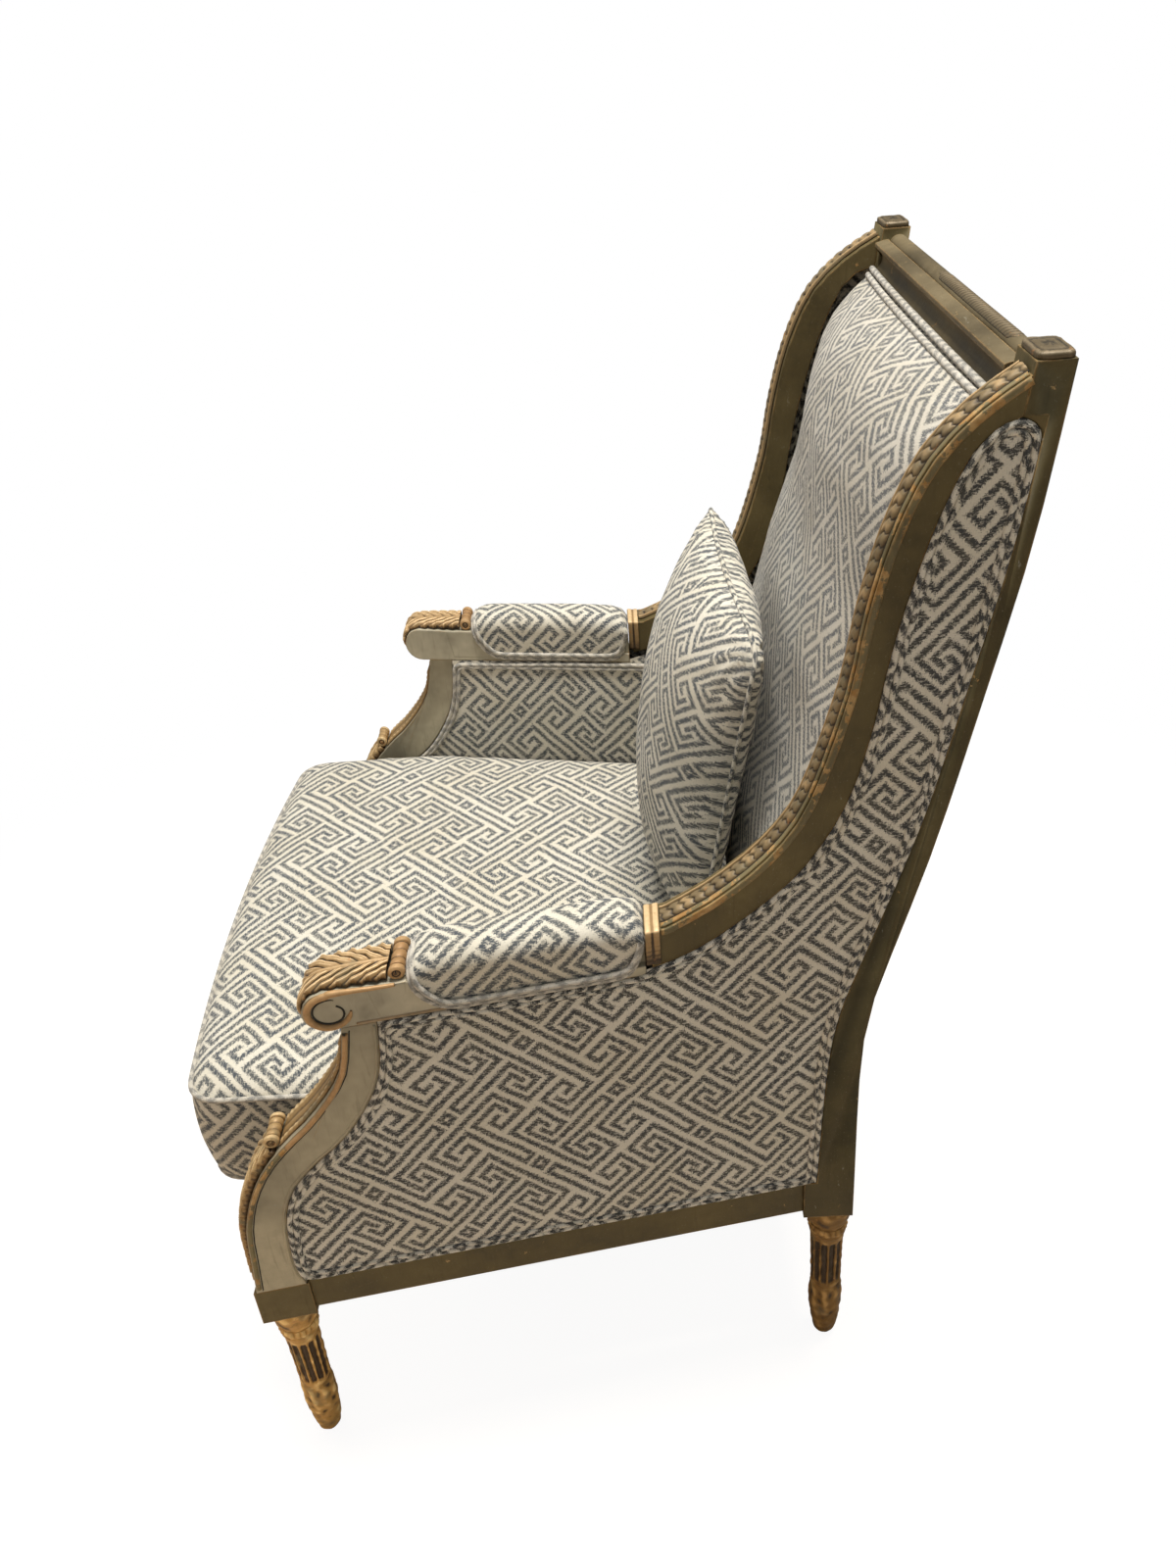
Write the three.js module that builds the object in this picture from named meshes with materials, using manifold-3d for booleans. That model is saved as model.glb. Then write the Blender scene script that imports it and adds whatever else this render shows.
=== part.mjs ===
import * as THREE from "three";
import { mergeVertices } from "three/addons/utils/BufferGeometryUtils.js";
import { TessellateModifier } from "three/addons/modifiers/TessellateModifier.js";
import Module from "manifold-3d";

// Bergere chair with a carved, painted frame, wings, upholstered sides and back,
// a loose seat cushion and a loose lumbar pillow. Millimetres, +Z up. The sitter
// faces -Y, so left is +X. Inside this file y is 0 at the middle of the rear legs;
// the finished group is moved so that its middle lies over the origin.

const wasm = await Module();
wasm.setup();

// Gaps between pieces that touch, and the mesh step on the splayed sides
const fit = 0.3;
const cutOverrun = 4;
const weldDistance = 0.001;
const sideMeshStep = 130;
const sideMeshPasses = 8;

// Plan of the frame
const rearHalfWidth = 283;
const sideSplay = THREE.MathUtils.degToRad(10);
const legSpan = 530;
const blockWidth = 51;
const rearBlockDepth = 49;
const frameThickness = 45;
const wingThickness = 36;
const armWidth = 49;

// Heights of the frame
const legHeight = 215;
const blockHeight = 45;
const stileHeight = 789;
const stileRake = 118;
const stileTopDepth = 27;
const blockTop = legHeight + blockHeight;
const stileTop = blockTop + stileHeight;

// Seat rails
const railBottomLift = 7;
const railHeight = 43;
const railThickness = 30;
const railSetback = 3;
const frontRailBow = 14;
const cornerBlockReach = 62;
const cornerBlockHeight = 28;
const lowerBackRailLift = 70;
const lowerBackRailHeight = 44;
const lowerBackRailDepth = 26;
const railBottom = legHeight + railBottomLift;
const railTop = railBottom + railHeight;
const frontLegY = -legSpan;

// Turned legs
const collarRadius = 23.5;
const shaftRadius = 18;
const footRadius = 9.5;
const frontLegLead = 5;
const rearLegTrail = 3;
const legTenonLength = 10;
const legFacets = 20;

// Arms and arm supports
const armUnderside = 572;
const armSideHeight = 38;
const armCoreHeight = 33;
const armCoreInset = 6;
const armShoulderHeight = 10;
const supportFoot = 46;
const supportSweep = 134;
const scrollRadius = 20;
const scrollSetback = 426.5;
const armRear = 166;
const padFront = 360;
const padCrownHeight = 27;
const padFrontHeight = 7;
const padBulge = 5;

// Carved pieces
const leafThickness = 7;
const leafInset = 4;
const leafFrontThickness = 5;
const knobRadius = 7;
const supportLeafHeight = 12;
const supportLeafInset = 6;
const collarLength = 13;
const collarWall = 2.5;
const collarDrop = 35;
const ropeWidth = 24;
const ropeHeight = 6;
const ropeInset = 4;
const ribbonLength = 235;
const ribbonShift = 72;
const ribbonWidth = 15;
const ribbonHeight = 1.6;
const capHeight = 7;
const capInset = 1.5;

// Wings
const wingTop = 1040;
const wingReach = 261;
const wingRise = 421;
const wingInnerReach = 269.5;
const wingInnerRise = 434;

// Crest rail
const crestBottom = 984;
const crestHeight = 55;
const crestDepth = 35;
const crestRearInset = -1;

// Upholstery
const stripAtBlock = 37;
const panelThickness = 12;
const panelRecess = 1;
const innerPanelDepth = 20;
const innerPanelThickness = 30;
const weltWidth = 10;
const weltHeight = 4;
const weltLift = 1.6;
const webWidth = 50;
const webThickness = 2.5;
const websAcross = 5;
const websDeep = 5;
const deckTop = 322;
const dustCoverThickness = 1.5;
const backPanelThickness = 8;
const backPanelInset = 3;
const padSideDepth = 60;
const backCrown = 32;
const panelRearGap = 4;
const backPadTop = 1008;
const backPadSideGap = 1.5;

// Loose cushions
const cushionFrontHalf = 298;
const cushionRearHalf = 234;
const cushionFront = 602;
const cushionFlareEnd = 430;
const cushionRear = 84;
const cushionBow = 15;
const cushionCorner = 30;
const cushionSide = 113;
const cushionCrown = 24;
const pillowWidth = 286;
const pillowHeight = 356;
const pillowFront = 65;
const pillowRear = 42;
const pillowY = 96;
const pillowTilt = THREE.MathUtils.degToRad(8);

// Materials
const paint = new THREE.MeshStandardMaterial({ color: 0x6d6851, roughness: 0.65, metalness: 0 });
const gilt = new THREE.MeshStandardMaterial({ color: 0xa37f4c, roughness: 0.5, metalness: 0.35 });
const fabric = new THREE.MeshStandardMaterial({ color: 0xb4b2a5, roughness: 0.95, metalness: 0 });
const bareWood = new THREE.MeshStandardMaterial({ color: 0x9a7448, roughness: 0.75, metalness: 0 });
const jute = new THREE.MeshStandardMaterial({ color: 0xa08a62, roughness: 0.95, metalness: 0 });
const lining = new THREE.MeshStandardMaterial({ color: 0x2c2a28, roughness: 0.95, metalness: 0 });

const point = (y, z) => new THREE.Vector2(y, z);
const share = (from, to, part) => from + (to - from) * part;
const steps = (count) => Array.from({ length: count + 1 }, (unused, i) => i / count);

// Meshes, solids and joins

function positionsOnly(geometry) {
  const copy = geometry.index ? geometry.toNonIndexed() : geometry.clone();
  for (const name of Object.keys(copy.attributes)) {
    if (name !== "position") copy.deleteAttribute(name);
  }
  return mergeVertices(copy, weldDistance);
}

function facingOut(geometry) {
  const merged = positionsOnly(geometry);
  const p = merged.attributes.position;
  const index = merged.index.array;
  const [a, b, c] = [new THREE.Vector3(), new THREE.Vector3(), new THREE.Vector3()];
  let volume = 0;
  for (let i = 0; i < index.length; i += 3) {
    a.fromBufferAttribute(p, index[i]);
    b.fromBufferAttribute(p, index[i + 1]);
    c.fromBufferAttribute(p, index[i + 2]);
    volume += a.dot(b.cross(c));
  }
  if (volume < 0) {
    for (let i = 0; i < index.length; i += 3) {
      [index[i + 1], index[i + 2]] = [index[i + 2], index[i + 1]];
    }
  }
  return merged;
}

function solidFrom(geometry) {
  const closed = facingOut(geometry);
  return new wasm.Manifold(new wasm.Mesh({
    numProp: 3,
    vertProperties: new Float32Array(closed.attributes.position.array),
    triVerts: new Uint32Array(closed.index.array),
  }));
}

function geometryFrom(solid) {
  const mesh = solid.getMesh();
  const geometry = new THREE.BufferGeometry();
  geometry.setAttribute("position", new THREE.BufferAttribute(mesh.vertProperties, 3));
  geometry.setIndex(new THREE.BufferAttribute(mesh.triVerts, 1));
  return geometry;
}

const joined = (...solids) => solids.reduce((all, next) => all.add(next));

// A closed skin over rings of equal count, capped at both ends or closed on itself.
function loft(rings, closedLoop = false) {
  const count = rings[0].length;
  const positions = rings.flat().flatMap((p) => [p.x, p.y, p.z]);
  const index = [];
  const at = (ring, k) => (ring % rings.length) * count + (k % count);
  const joins = closedLoop ? rings.length : rings.length - 1;
  for (let ring = 0; ring < joins; ring++) {
    for (let k = 0; k < count; k++) {
      index.push(at(ring, k), at(ring, k + 1), at(ring + 1, k + 1));
      index.push(at(ring, k), at(ring + 1, k + 1), at(ring + 1, k));
    }
  }
  if (!closedLoop) {
    index.push(...capFaces(rings[0], 0, true));
    index.push(...capFaces(rings.at(-1), (rings.length - 1) * count, false));
  }
  const geometry = new THREE.BufferGeometry();
  geometry.setAttribute("position", new THREE.Float32BufferAttribute(positions, 3));
  geometry.setIndex(index);
  return facingOut(geometry);
}

function capFaces(ring, start, reversed) {
  const normal = new THREE.Vector3();
  ring.forEach((p, i) => normal.add(new THREE.Vector3().crossVectors(p, ring[(i + 1) % ring.length])));
  const size = normal.toArray().map(Math.abs);
  const drop = size.indexOf(Math.max(...size));
  const [u, v] = [["y", "z"], ["z", "x"], ["x", "y"]][drop];
  const flat = ring.map((p) => new THREE.Vector2(p[u], p[v]));
  const turn = Math.sign(THREE.ShapeUtils.area(flat)) * (reversed ? -1 : 1);
  return THREE.ShapeUtils.triangulateShape(flat, []).flatMap(([a, b, c]) => {
    const way = Math.sign(THREE.ShapeUtils.area([flat[a], flat[b], flat[c]]));
    return way === turn ? [start + a, start + b, start + c] : [start + a, start + c, start + b];
  });
}

// Curves in the side elevation

function curveThrough(points, count) {
  return new THREE.SplineCurve(points).getSpacedPoints(count);
}

// Points given as shares of a run along y and a rise along z.
function fromShares(shares, startY, startZ, run, rise) {
  return shares.map(([along, up]) => point(startY + run * along, startZ + rise * up));
}

// The y of a line of points that climbs or falls steadily, at height z.
function lineAt(points, z) {
  const climbing = points[0].y < points.at(-1).y ? points : [...points].reverse();
  const last = climbing.length - 1;
  const k = Math.min(last, Math.max(1, climbing.findIndex((p) => p.y >= z)));
  const upper = z > climbing[last].y ? last : k;
  const [low, high] = [climbing[upper - 1], climbing[upper]];
  return share(low.x, high.x, (z - low.y) / (high.y - low.y));
}

// The part of a line that lies behind a given y.
function beyond(points, y) {
  const turned = points.map((p) => point(p.y, p.x));
  return [point(y, lineAt(turned, y)), ...points.filter((p) => p.x > y + fit)];
}

function offsetLine(points, distance) {
  return points.map((p, i) => {
    const before = points[Math.max(0, i - 1)];
    const after = points[Math.min(points.length - 1, i + 1)];
    const along = after.clone().sub(before).normalize();
    return point(p.x - along.y * distance, p.y + along.x * distance);
  });
}

const circleArc = (centre, radius, fromAngle, toAngle, count) => steps(count).map((part) => {
  const angle = share(fromAngle, toAngle, part);
  return point(centre.x + radius * Math.cos(angle), centre.y + radius * Math.sin(angle));
});

const heights = (fromZ, toZ, lineY, count) => steps(count).map((part) => {
  const z = share(fromZ, toZ, part);
  return point(lineY(z), z);
});

const rearBlockFront = -blockWidth / 2;
const rearBlockBack = rearBlockFront + rearBlockDepth;
const stileRearShares = [[0, 0], [0, 0.19], [0.05, 0.287], [0.18, 0.368], [0.43, 0.513],
  [0.68, 0.694], [0.87, 0.842], [1, 1]];
const stileRearLine = curveThrough(
  fromShares(stileRearShares, rearBlockBack, blockTop, stileRake, stileHeight), 28);
const stileRearY = (z) => (z <= blockTop ? rearBlockBack : lineAt(stileRearLine, z));
const stileRise = (z) => Math.min(1, Math.max(0, (z - blockTop) / stileHeight));
const stileFrontY = (z) => stileRearY(z) - share(rearBlockDepth, stileTopDepth, stileRise(z));

const stripShares = [[0, 1], [0.26, 0.76], [0.41, 0.6], [0.57, 0.43], [0.8, 0.37], [1, 0.3]];
const stripLine = stripShares.map(([up, wide]) => point(stripAtBlock * wide, blockTop + stileHeight * up));
const panelRearY = (z) => stileRearY(z) - lineAt(stripLine, z);

// Drops the points of a line that lie nearer than a distance to the one before.
function thinned(points, distance) {
  return points.reduce((kept, p) => {
    const near = kept.length > 0 && kept.at(-1).distanceTo(p) < distance;
    return near ? kept : [...kept, p];
  }, []);
}

const wingFrontShares = [[0, 0], [0.13, 0.05], [0.25, 0.126], [0.337, 0.243], [0.397, 0.386],
  [0.443, 0.545], [0.55, 0.756], [0.667, 0.864], [0.83, 0.946], [1, 1]];
const wingFrontLine = curveThrough(
  fromShares(wingFrontShares, stileFrontY(wingTop) - fit, wingTop, -wingReach, -wingRise), 26);
const wingInnerShares = [[0, 0], [0.1, 0.03], [0.178, 0.12], [0.24, 0.235], [0.295, 0.371],
  [0.345, 0.548], [0.415, 0.696], [0.553, 0.832], [0.761, 0.935], [0.9, 0.982], [1, 1]];
const wingInnerTop = armUnderside + fit + wingInnerRise + railBottomLift;
const wingInnerLine = curveThrough(
  fromShares(wingInnerShares, stileFrontY(wingInnerTop) - fit, wingInnerTop, -wingInnerReach,
    -wingInnerRise), 28);

const panelRearLine = heights(wingInnerTop, railTop, panelRearY, 16);

const supportFrontShares = [[0, 0], [0.03, 0.13], [0.06, 0.263], [0.127, 0.372], [0.209, 0.452],
  [0.32, 0.526], [0.485, 0.603], [0.634, 0.663], [0.806, 0.753], [0.925, 0.846], [1, 1]];
const supportBackShares = [[0, 0], [-0.03, 0.05], [-0.04, 0.12], [-0.025, 0.228], [0.015, 0.33],
  [0.11, 0.423], [0.3, 0.508], [0.52, 0.59], [0.73, 0.724], [0.83, 0.843], [0.87, 1]];
const supportFootFront = frontLegY - blockWidth / 2 + railSetback;
const supportBottom = blockTop + fit;
const supportHeight = armUnderside - fit - supportBottom;
const supportFrontLine = curveThrough(
  fromShares(supportFrontShares, supportFootFront, supportBottom, supportSweep, supportHeight), 20);
const supportBackLine = curveThrough(
  fromShares(supportBackShares, supportFootFront + supportFoot, supportBottom, supportSweep,
    supportHeight), 18);

// The splayed side surface: straight on the rear stile, opening in front of it

function outerX(y, z) {
  return rearHalfWidth + Math.tan(sideSplay) * Math.max(0, stileFrontY(z) - y);
}

// A flat solid in the side elevation, between two depths under the side surface.
function plate(outline, fromDepth, toDepth) {
  const geometry = new THREE.ExtrudeGeometry(new THREE.Shape(outline), {
    depth: toDepth - fromDepth,
    bevelEnabled: false,
  });
  geometry.translate(0, 0, fromDepth);
  return solidFrom(geometry);
}

// Lays a flat solid (y, z, depth) on the left side of the chair.
function onSide(solid) {
  const flat = geometryFrom(solid).toNonIndexed();
  const fine = new TessellateModifier(sideMeshStep, sideMeshPasses).modify(flat);
  const p = fine.attributes.position;
  for (let i = 0; i < p.count; i++) {
    const [y, z, depth] = [p.getX(i), p.getY(i), p.getZ(i)];
    p.setXYZ(i, outerX(y, z) - depth, y, z);
  }
  return facingOut(fine);
}

// A band with a section of [height, depth] pairs that runs along a line of the side elevation.
function bandAlong(line, section, closedLoop = false, swellShares = line.map(() => 1)) {
  const rings = line.map((p, i) => {
    const last = line.length - 1;
    const before = closedLoop ? line[(i + last) % line.length] : line[Math.max(0, i - 1)];
    const after = closedLoop ? line[(i + 1) % line.length] : line[Math.min(last, i + 1)];
    const along = after.clone().sub(before).normalize();
    const swell = swellShares[i];
    return section.map(([height, depth]) =>
      new THREE.Vector3(p.x - along.y * height * swell, p.y + along.x * height * swell, depth));
  });
  return solidFrom(loft(rings, closedLoop));
}

// A solid with a plan shape in x and y, between two heights.
function slab(plan, fromZ, toZ) {
  const geometry = new THREE.ExtrudeGeometry(plan, {
    depth: toZ - fromZ,
    bevelEnabled: false,
  });
  geometry.translate(0, 0, fromZ);
  return solidFrom(geometry);
}

const mirrored = (halfPlan) => [...halfPlan, ...[...halfPlan].reverse().map((p) => point(-p.x, p.y))];

// Legs and stiles

const shaftShares = [[0, 0], [0.3, 0.03], [0.62, 0.15], [0.8, 0.18], [0.93, 0.25], [0.9, 0.39],
  [0.88, 0.41], [1, 0.76]];
const collarShares = [[0.83, 0.8], [0.8, 0.82], [0.93, 0.87], [1, 0.93], [1, 0.97], [0.93, 1]];

function turnedLeg(x, y) {
  const shaft = shaftShares.map(([out, up]) => point(share(footRadius, shaftRadius, out), legHeight * up));
  const collar = collarShares.map(([out, up]) => point(collarRadius * out, legHeight * up));
  const top = legHeight + legTenonLength;
  const profile = [point(0, 0), ...shaft, ...collar, point(collar.at(-1).x, top), point(0, top)];
  const geometry = new THREE.LatheGeometry(profile, legFacets);
  geometry.rotateX(Math.PI / 2);
  geometry.translate(x, y, 0);
  return solidFrom(geometry);
}

const rectangle = (fromY, toY, fromZ, toZ) =>
  [point(fromY, fromZ), point(toY, fromZ), point(toY, toZ), point(fromY, toZ)];

function frontLeg() {
  const half = blockWidth / 2;
  const block = plate(rectangle(frontLegY - half, frontLegY + half, legHeight, blockTop), 0, blockWidth);
  const leg = turnedLeg(outerX(frontLegY, legHeight) - half, frontLegY - frontLegLead);
  return geometryFrom(joined(solidFrom(onSide(block)), leg));
}

const stileFrontLine = heights(blockTop - cutOverrun, stileTop, stileFrontY, 16);

function rearStile() {
  const block = plate(rectangle(rearBlockFront, rearBlockBack, legHeight, blockTop), 0, blockWidth);
  const rear = heights(blockTop - cutOverrun, stileTop, stileRearY, 16);
  const post = plate([...rear, ...[...stileFrontLine].reverse()], 0, frameThickness);
  const rebateEdge = panelRearLine.map((p) => point(p.x + fit, p.y));
  const rebateFront = heights(railTop, wingInnerTop, (z) => stileFrontY(z) - cutOverrun, 14);
  const rebate = plate([...rebateEdge, ...rebateFront], -cutOverrun, panelRecess + panelThickness + fit);
  const leg = turnedLeg(rearHalfWidth - blockWidth / 2, rearLegTrail);
  return geometryFrom(joined(solidFrom(onSide(joined(block, post).subtract(rebate))), leg));
}

// Seat rails, corner blocks and the lower back rail

const blockInnerX = (y) => outerX(y, railBottom) - blockWidth - fit;
const frontRailFace = frontLegY - blockWidth / 2 + railSetback;
const frontRailBack = frontRailFace + railThickness;
const rearRailFace = rearBlockBack - railSetback;
const rearRailFront = rearRailFace - railThickness;

function frontRail() {
  const halfPlan = [point(blockInnerX(frontRailBack), frontRailBack),
    point(blockInnerX(frontRailFace), frontRailFace)];
  const bow = steps(10).slice(1, -1).map((part) => {
    const across = 1 - 2 * part;
    return point(blockInnerX(frontRailFace) * across, frontRailFace - frontRailBow * (1 - across ** 2));
  });
  const plan = [...halfPlan, ...bow, ...[...halfPlan].reverse().map((p) => point(-p.x, p.y))];
  return geometryFrom(slab(new THREE.Shape(plan), railBottom, railTop));
}

function sideRail() {
  const front = frontLegY + blockWidth / 2 + fit;
  return onSide(plate(rectangle(front, rearBlockFront - fit, railBottom, railTop), railSetback,
    railSetback + railThickness));
}

function rearRail() {
  const halfPlan = [point(rearHalfWidth - blockWidth - fit, rearRailFront),
    point(rearHalfWidth - blockWidth - fit, rearRailFace)];
  return geometryFrom(slab(new THREE.Shape(mirrored(halfPlan)), railBottom, railTop));
}

const railInnerX = (y) => outerX(y, railBottom) - railSetback - railThickness - fit;

function cornerBlock(blockY, railY, inward) {
  const blockFace = blockY + inward * (blockWidth / 2 + fit);
  const reachY = blockFace + inward * cornerBlockReach;
  const railFace = railY + inward * fit;
  const nearX = blockInnerX(blockFace);
  const plan = [point(railInnerX(blockFace), blockFace), point(railInnerX(reachY), reachY),
    point(nearX - cornerBlockReach, railFace), point(nearX, railFace), point(nearX, blockFace)];
  const bottom = railBottom + railSetback;
  return geometryFrom(slab(new THREE.Shape(plan), bottom, bottom + cornerBlockHeight));
}

const lowerBackRailBottom = railTop + lowerBackRailLift;
const lowerBackRailTop = lowerBackRailBottom + lowerBackRailHeight;

function lowerBackRail() {
  const front = stileFrontY(lowerBackRailBottom);
  const half = rearHalfWidth - frameThickness - fit;
  const halfPlan = [point(half, front), point(half, front + lowerBackRailDepth)];
  return geometryFrom(slab(new THREE.Shape(mirrored(halfPlan)), lowerBackRailBottom, lowerBackRailTop));
}

// Arms and their supports

function armSupport() {
  return onSide(plate([...supportFrontLine, ...[...supportBackLine].reverse()], 0, frameThickness));
}

const scrollCentre = point(-scrollSetback, armUnderside + scrollRadius);
const armTop = armUnderside + armSideHeight;

function arm() {
  const front = circleArc(scrollCentre, scrollRadius, Math.PI / 2, Math.PI * 1.5, 12);
  const shoulder = -padFront - armWidth / 2;
  const full = [...front, point(-armRear - fit, armUnderside),
    point(-armRear - fit, armUnderside + armShoulderHeight),
    point(-padFront + armCoreInset, armUnderside + armShoulderHeight), point(-padFront, armTop),
    point(shoulder, armTop)];
  const core = rectangle(-padFront - armCoreInset, -armRear - fit, armUnderside + armShoulderHeight / 2,
    armUnderside + armCoreHeight);
  return onSide(joined(plate(full, 0, armWidth), plate(core, armCoreInset, armWidth - armCoreInset)));
}

// The upholstered pad that wraps the top and sides of the arm, lower over its front end.
const padCrownShares = [0, 0.55, 0.86, 1, 1, 1, 1, 1, 0.96, 0.88, 0.7];
const padSideShares = [0.06, 0.25, 0.6, 0.85, 1, 1, 1, 1, 1, 0.96, 0.8];
const padSkirtShare = 0.71;
const padRoundShare = 0.7;
const padDomeShare = 0.8;

function armPad() {
  const low = armUnderside + armShoulderHeight + fit;
  const coreTop = armUnderside + armCoreHeight + fit;
  const [left, right] = [armCoreInset - fit, armWidth - armCoreInset + fit];
  const rings = padCrownShares.map((rise, i) => {
    const part = i / (padCrownShares.length - 1);
    const y = share(-padFront + armCoreInset + fit, -armRear - fit, part);
    const bottom = share(coreTop, low, Math.min(1, padSideShares[i] / padSkirtShare));
    const crown = coreTop + share(padFrontHeight, padCrownHeight, rise);
    const bulge = padBulge * padSideShares[i];
    const over = steps(8).map((turn) => {
      const [cos, sin] = [Math.cos(Math.PI * turn), Math.sin(Math.PI * turn)];
      const wide = (armWidth / 2 + bulge * sin) * Math.sign(cos) * Math.abs(cos) ** padRoundShare;
      return new THREE.Vector3(y, share(coreTop, crown, sin ** padDomeShare), armWidth / 2 - wide);
    });
    return [...over, ...[[bottom, armWidth], [bottom, right], [coreTop, right], [coreTop, left],
      [bottom, left], [bottom, 0]].map(([z, depth]) => new THREE.Vector3(y, z, depth))];
  });
  return onSide(solidFrom(loft(rings)));
}

// Wings, crest and back

const wingFoot = -armRear;

const wingFootTop = wingTop - wingRise;
const wingEdge = [point(wingFoot, wingFootTop), ...[...wingFrontLine].reverse()];

function wingFrame() {
  const rear = heights(wingTop, wingInnerTop, (z) => stileFrontY(z) - fit, 4).slice(1);
  return onSide(plate([...wingEdge, ...rear, ...wingInnerLine.slice(1)], 0, wingThickness));
}

const crestShares = [[0.14, 0], [0.14, 0.58], [0.02, 0.62], [0.02, 0.7], [0.32, 0.74], [0.34, 0.84],
  [0.1, 0.9], [0, 0.93], [0, 1], [0.4, 1], [0.44, 0.97], [0.5, 1.02], [0.74, 1.07], [0.93, 1.02],
  [1, 0.94], [0.8, 0]];
const crestFront = stileRearY(wingTop) - crestRearInset - crestDepth;

function acrossBar(outline, half) {
  const geometry = new THREE.ExtrudeGeometry(new THREE.Shape(outline), {
    depth: 2 * half,
    bevelEnabled: false,
  });
  geometry.translate(0, 0, -half);
  const p = geometry.attributes.position;
  for (let i = 0; i < p.count; i++) p.setXYZ(i, p.getZ(i), p.getX(i), p.getY(i));
  return facingOut(geometry);
}

const crestOutline = crestShares.map(([deep, up]) =>
  point(crestFront + crestDepth * deep, crestBottom + crestHeight * up));

function crestRail() {
  return acrossBar(crestOutline, rearHalfWidth - frameThickness - fit);
}

const ribbonSeatShares = [0.74, 1.07];

function crestRibbon() {
  const [deep, up] = ribbonSeatShares;
  const centre = point(crestFront + crestDepth * deep, crestBottom + crestHeight * up + fit);
  const ripple = circleArc(centre, ribbonWidth / 2, 0, Math.PI, 6)
    .map((p) => point(p.x, centre.y + (p.y - centre.y) * (ribbonHeight / (ribbonWidth / 2))));
  return acrossBar(ripple, ribbonLength / 2).translate(ribbonShift, 0, 0);
}

const capShares = [[0.94, 0], [1, 0.15], [1, 0.7], [0.92, 0.9], [0.74, 1]];
const capPoints = 16;
const squared = (value) => Math.sign(value) * Math.sqrt(Math.abs(value));

function stileCap() {
  const top = stileTop + fit;
  const centre = point(rearHalfWidth - frameThickness / 2, stileRearY(stileTop) - stileTopDepth / 2);
  const half = point(frameThickness / 2 - capInset, stileTopDepth / 2 - capInset);
  const around = circleArc(point(0, 0), 1, 0, Math.PI * 2, capPoints).slice(1);
  return loft(capShares.map(([wide, up]) => around.map((p) => new THREE.Vector3(
    centre.x + half.x * wide * squared(p.x),
    centre.y + half.y * wide * squared(p.y),
    top + capHeight * up))));
}

// Carved gilt pieces

function ropeMoulding() {
  const start = -armRear + collarLength + fit;
  const line = offsetLine(beyond(wingEdge, start), fit);
  const middle = ropeInset + ropeWidth / 2;
  const section = circleArc(point(middle, 0), ropeWidth / 2, 0, Math.PI, 6)
    .map((p) => [p.y * (ropeHeight / (ropeWidth / 2)), p.x]);
  return onSide(bandAlong(line, section));
}

const leafTopShares = [[0, 0], [-0.02, 0.35], [0.03, 0.62], [0.14, 0.85], [0.3, 0.96], [0.55, 1],
  [0.84, 1]];
const leafCurl = Math.PI * 1.12;
const knobTurn = Math.PI * 0.8;

function armLeaf() {
  const front = circleArc(scrollCentre, scrollRadius + fit, Math.PI / 2, leafCurl, 8).reverse();
  const knob = point(-padFront - knobRadius - fit, armTop + knobRadius + fit);
  const under = [...front, point(-padFront - armWidth / 2, armTop + fit), point(knob.x, armTop + fit)];
  const knobArc = circleArc(knob, knobRadius, -Math.PI / 2, knobTurn, 9).slice(1);
  const start = front[0];
  const crown = armTop + leafThickness;
  const top = fromShares(leafTopShares, start.x - leafFrontThickness, start.y,
    knob.x - start.x + leafFrontThickness, crown - start.y);
  const over = curveThrough(top, 10).reverse();
  return onSide(plate([...under, ...knobArc, ...over], leafInset, armWidth - leafInset));
}

const supportLeafShares = [[0, 0.7], [0.1, 1], [0.25, 1], [0.4, 0.7], [0.6, 0.6], [1, 0.45]];
const knobStation = 11;
const knobOutShare = 1.05;
const knobUpShare = 0.75;
const supportLeafLine = supportLeafShares.map(([up, thick]) => point(thick, up));

function supportLeaf() {
  const line = offsetLine(supportFrontLine.slice(1, -2), fit);
  const [from, to] = [supportLeafInset, frameThickness - supportLeafInset];
  const middle = (from + to) / 2;
  const section = [[0, from], [supportLeafHeight / 2, from], [supportLeafHeight, middle],
    [supportLeafHeight / 2, to], [0, to]];
  const swell = line.map((p) => lineAt(supportLeafLine, (p.y - supportBottom) / supportHeight));
  const leaf = bandAlong(line, section, false, swell);
  const seat = supportFrontLine[knobStation];
  const knob = circleArc(point(seat.x - knobRadius * knobOutShare, seat.y + knobRadius * knobUpShare),
    knobRadius, 0, Math.PI * 2, 12).slice(1);
  const scroll = plate(knob, from, to).subtract(plate(
    [...offsetLine(supportFrontLine, fit), ...[...supportBackLine].reverse()], from - cutOverrun,
    to + cutOverrun));
  return onSide(joined(leaf, scroll));
}

function armCollar() {
  const [from, to] = [-armRear + fit, -armRear + collarLength];
  const outer = [point(from, wingFootTop - collarDrop), point(to, wingFootTop - collarDrop),
    point(to, wingFootTop + collarWall), point(from, wingFootTop + collarWall)];
  const inner = [point(from - cutOverrun, wingFootTop - collarDrop - cutOverrun),
    point(to + cutOverrun, wingFootTop - collarDrop - cutOverrun),
    point(to + cutOverrun, wingFootTop + fit), point(from - cutOverrun, wingFootTop + fit)];
  const shell = plate(outer, -collarWall, wingThickness + collarWall);
  return onSide(shell.subtract(plate(inner, -fit, wingThickness + fit)));
}

// Upholstery of the sides

const panelBottom = railTop + fit;

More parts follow.
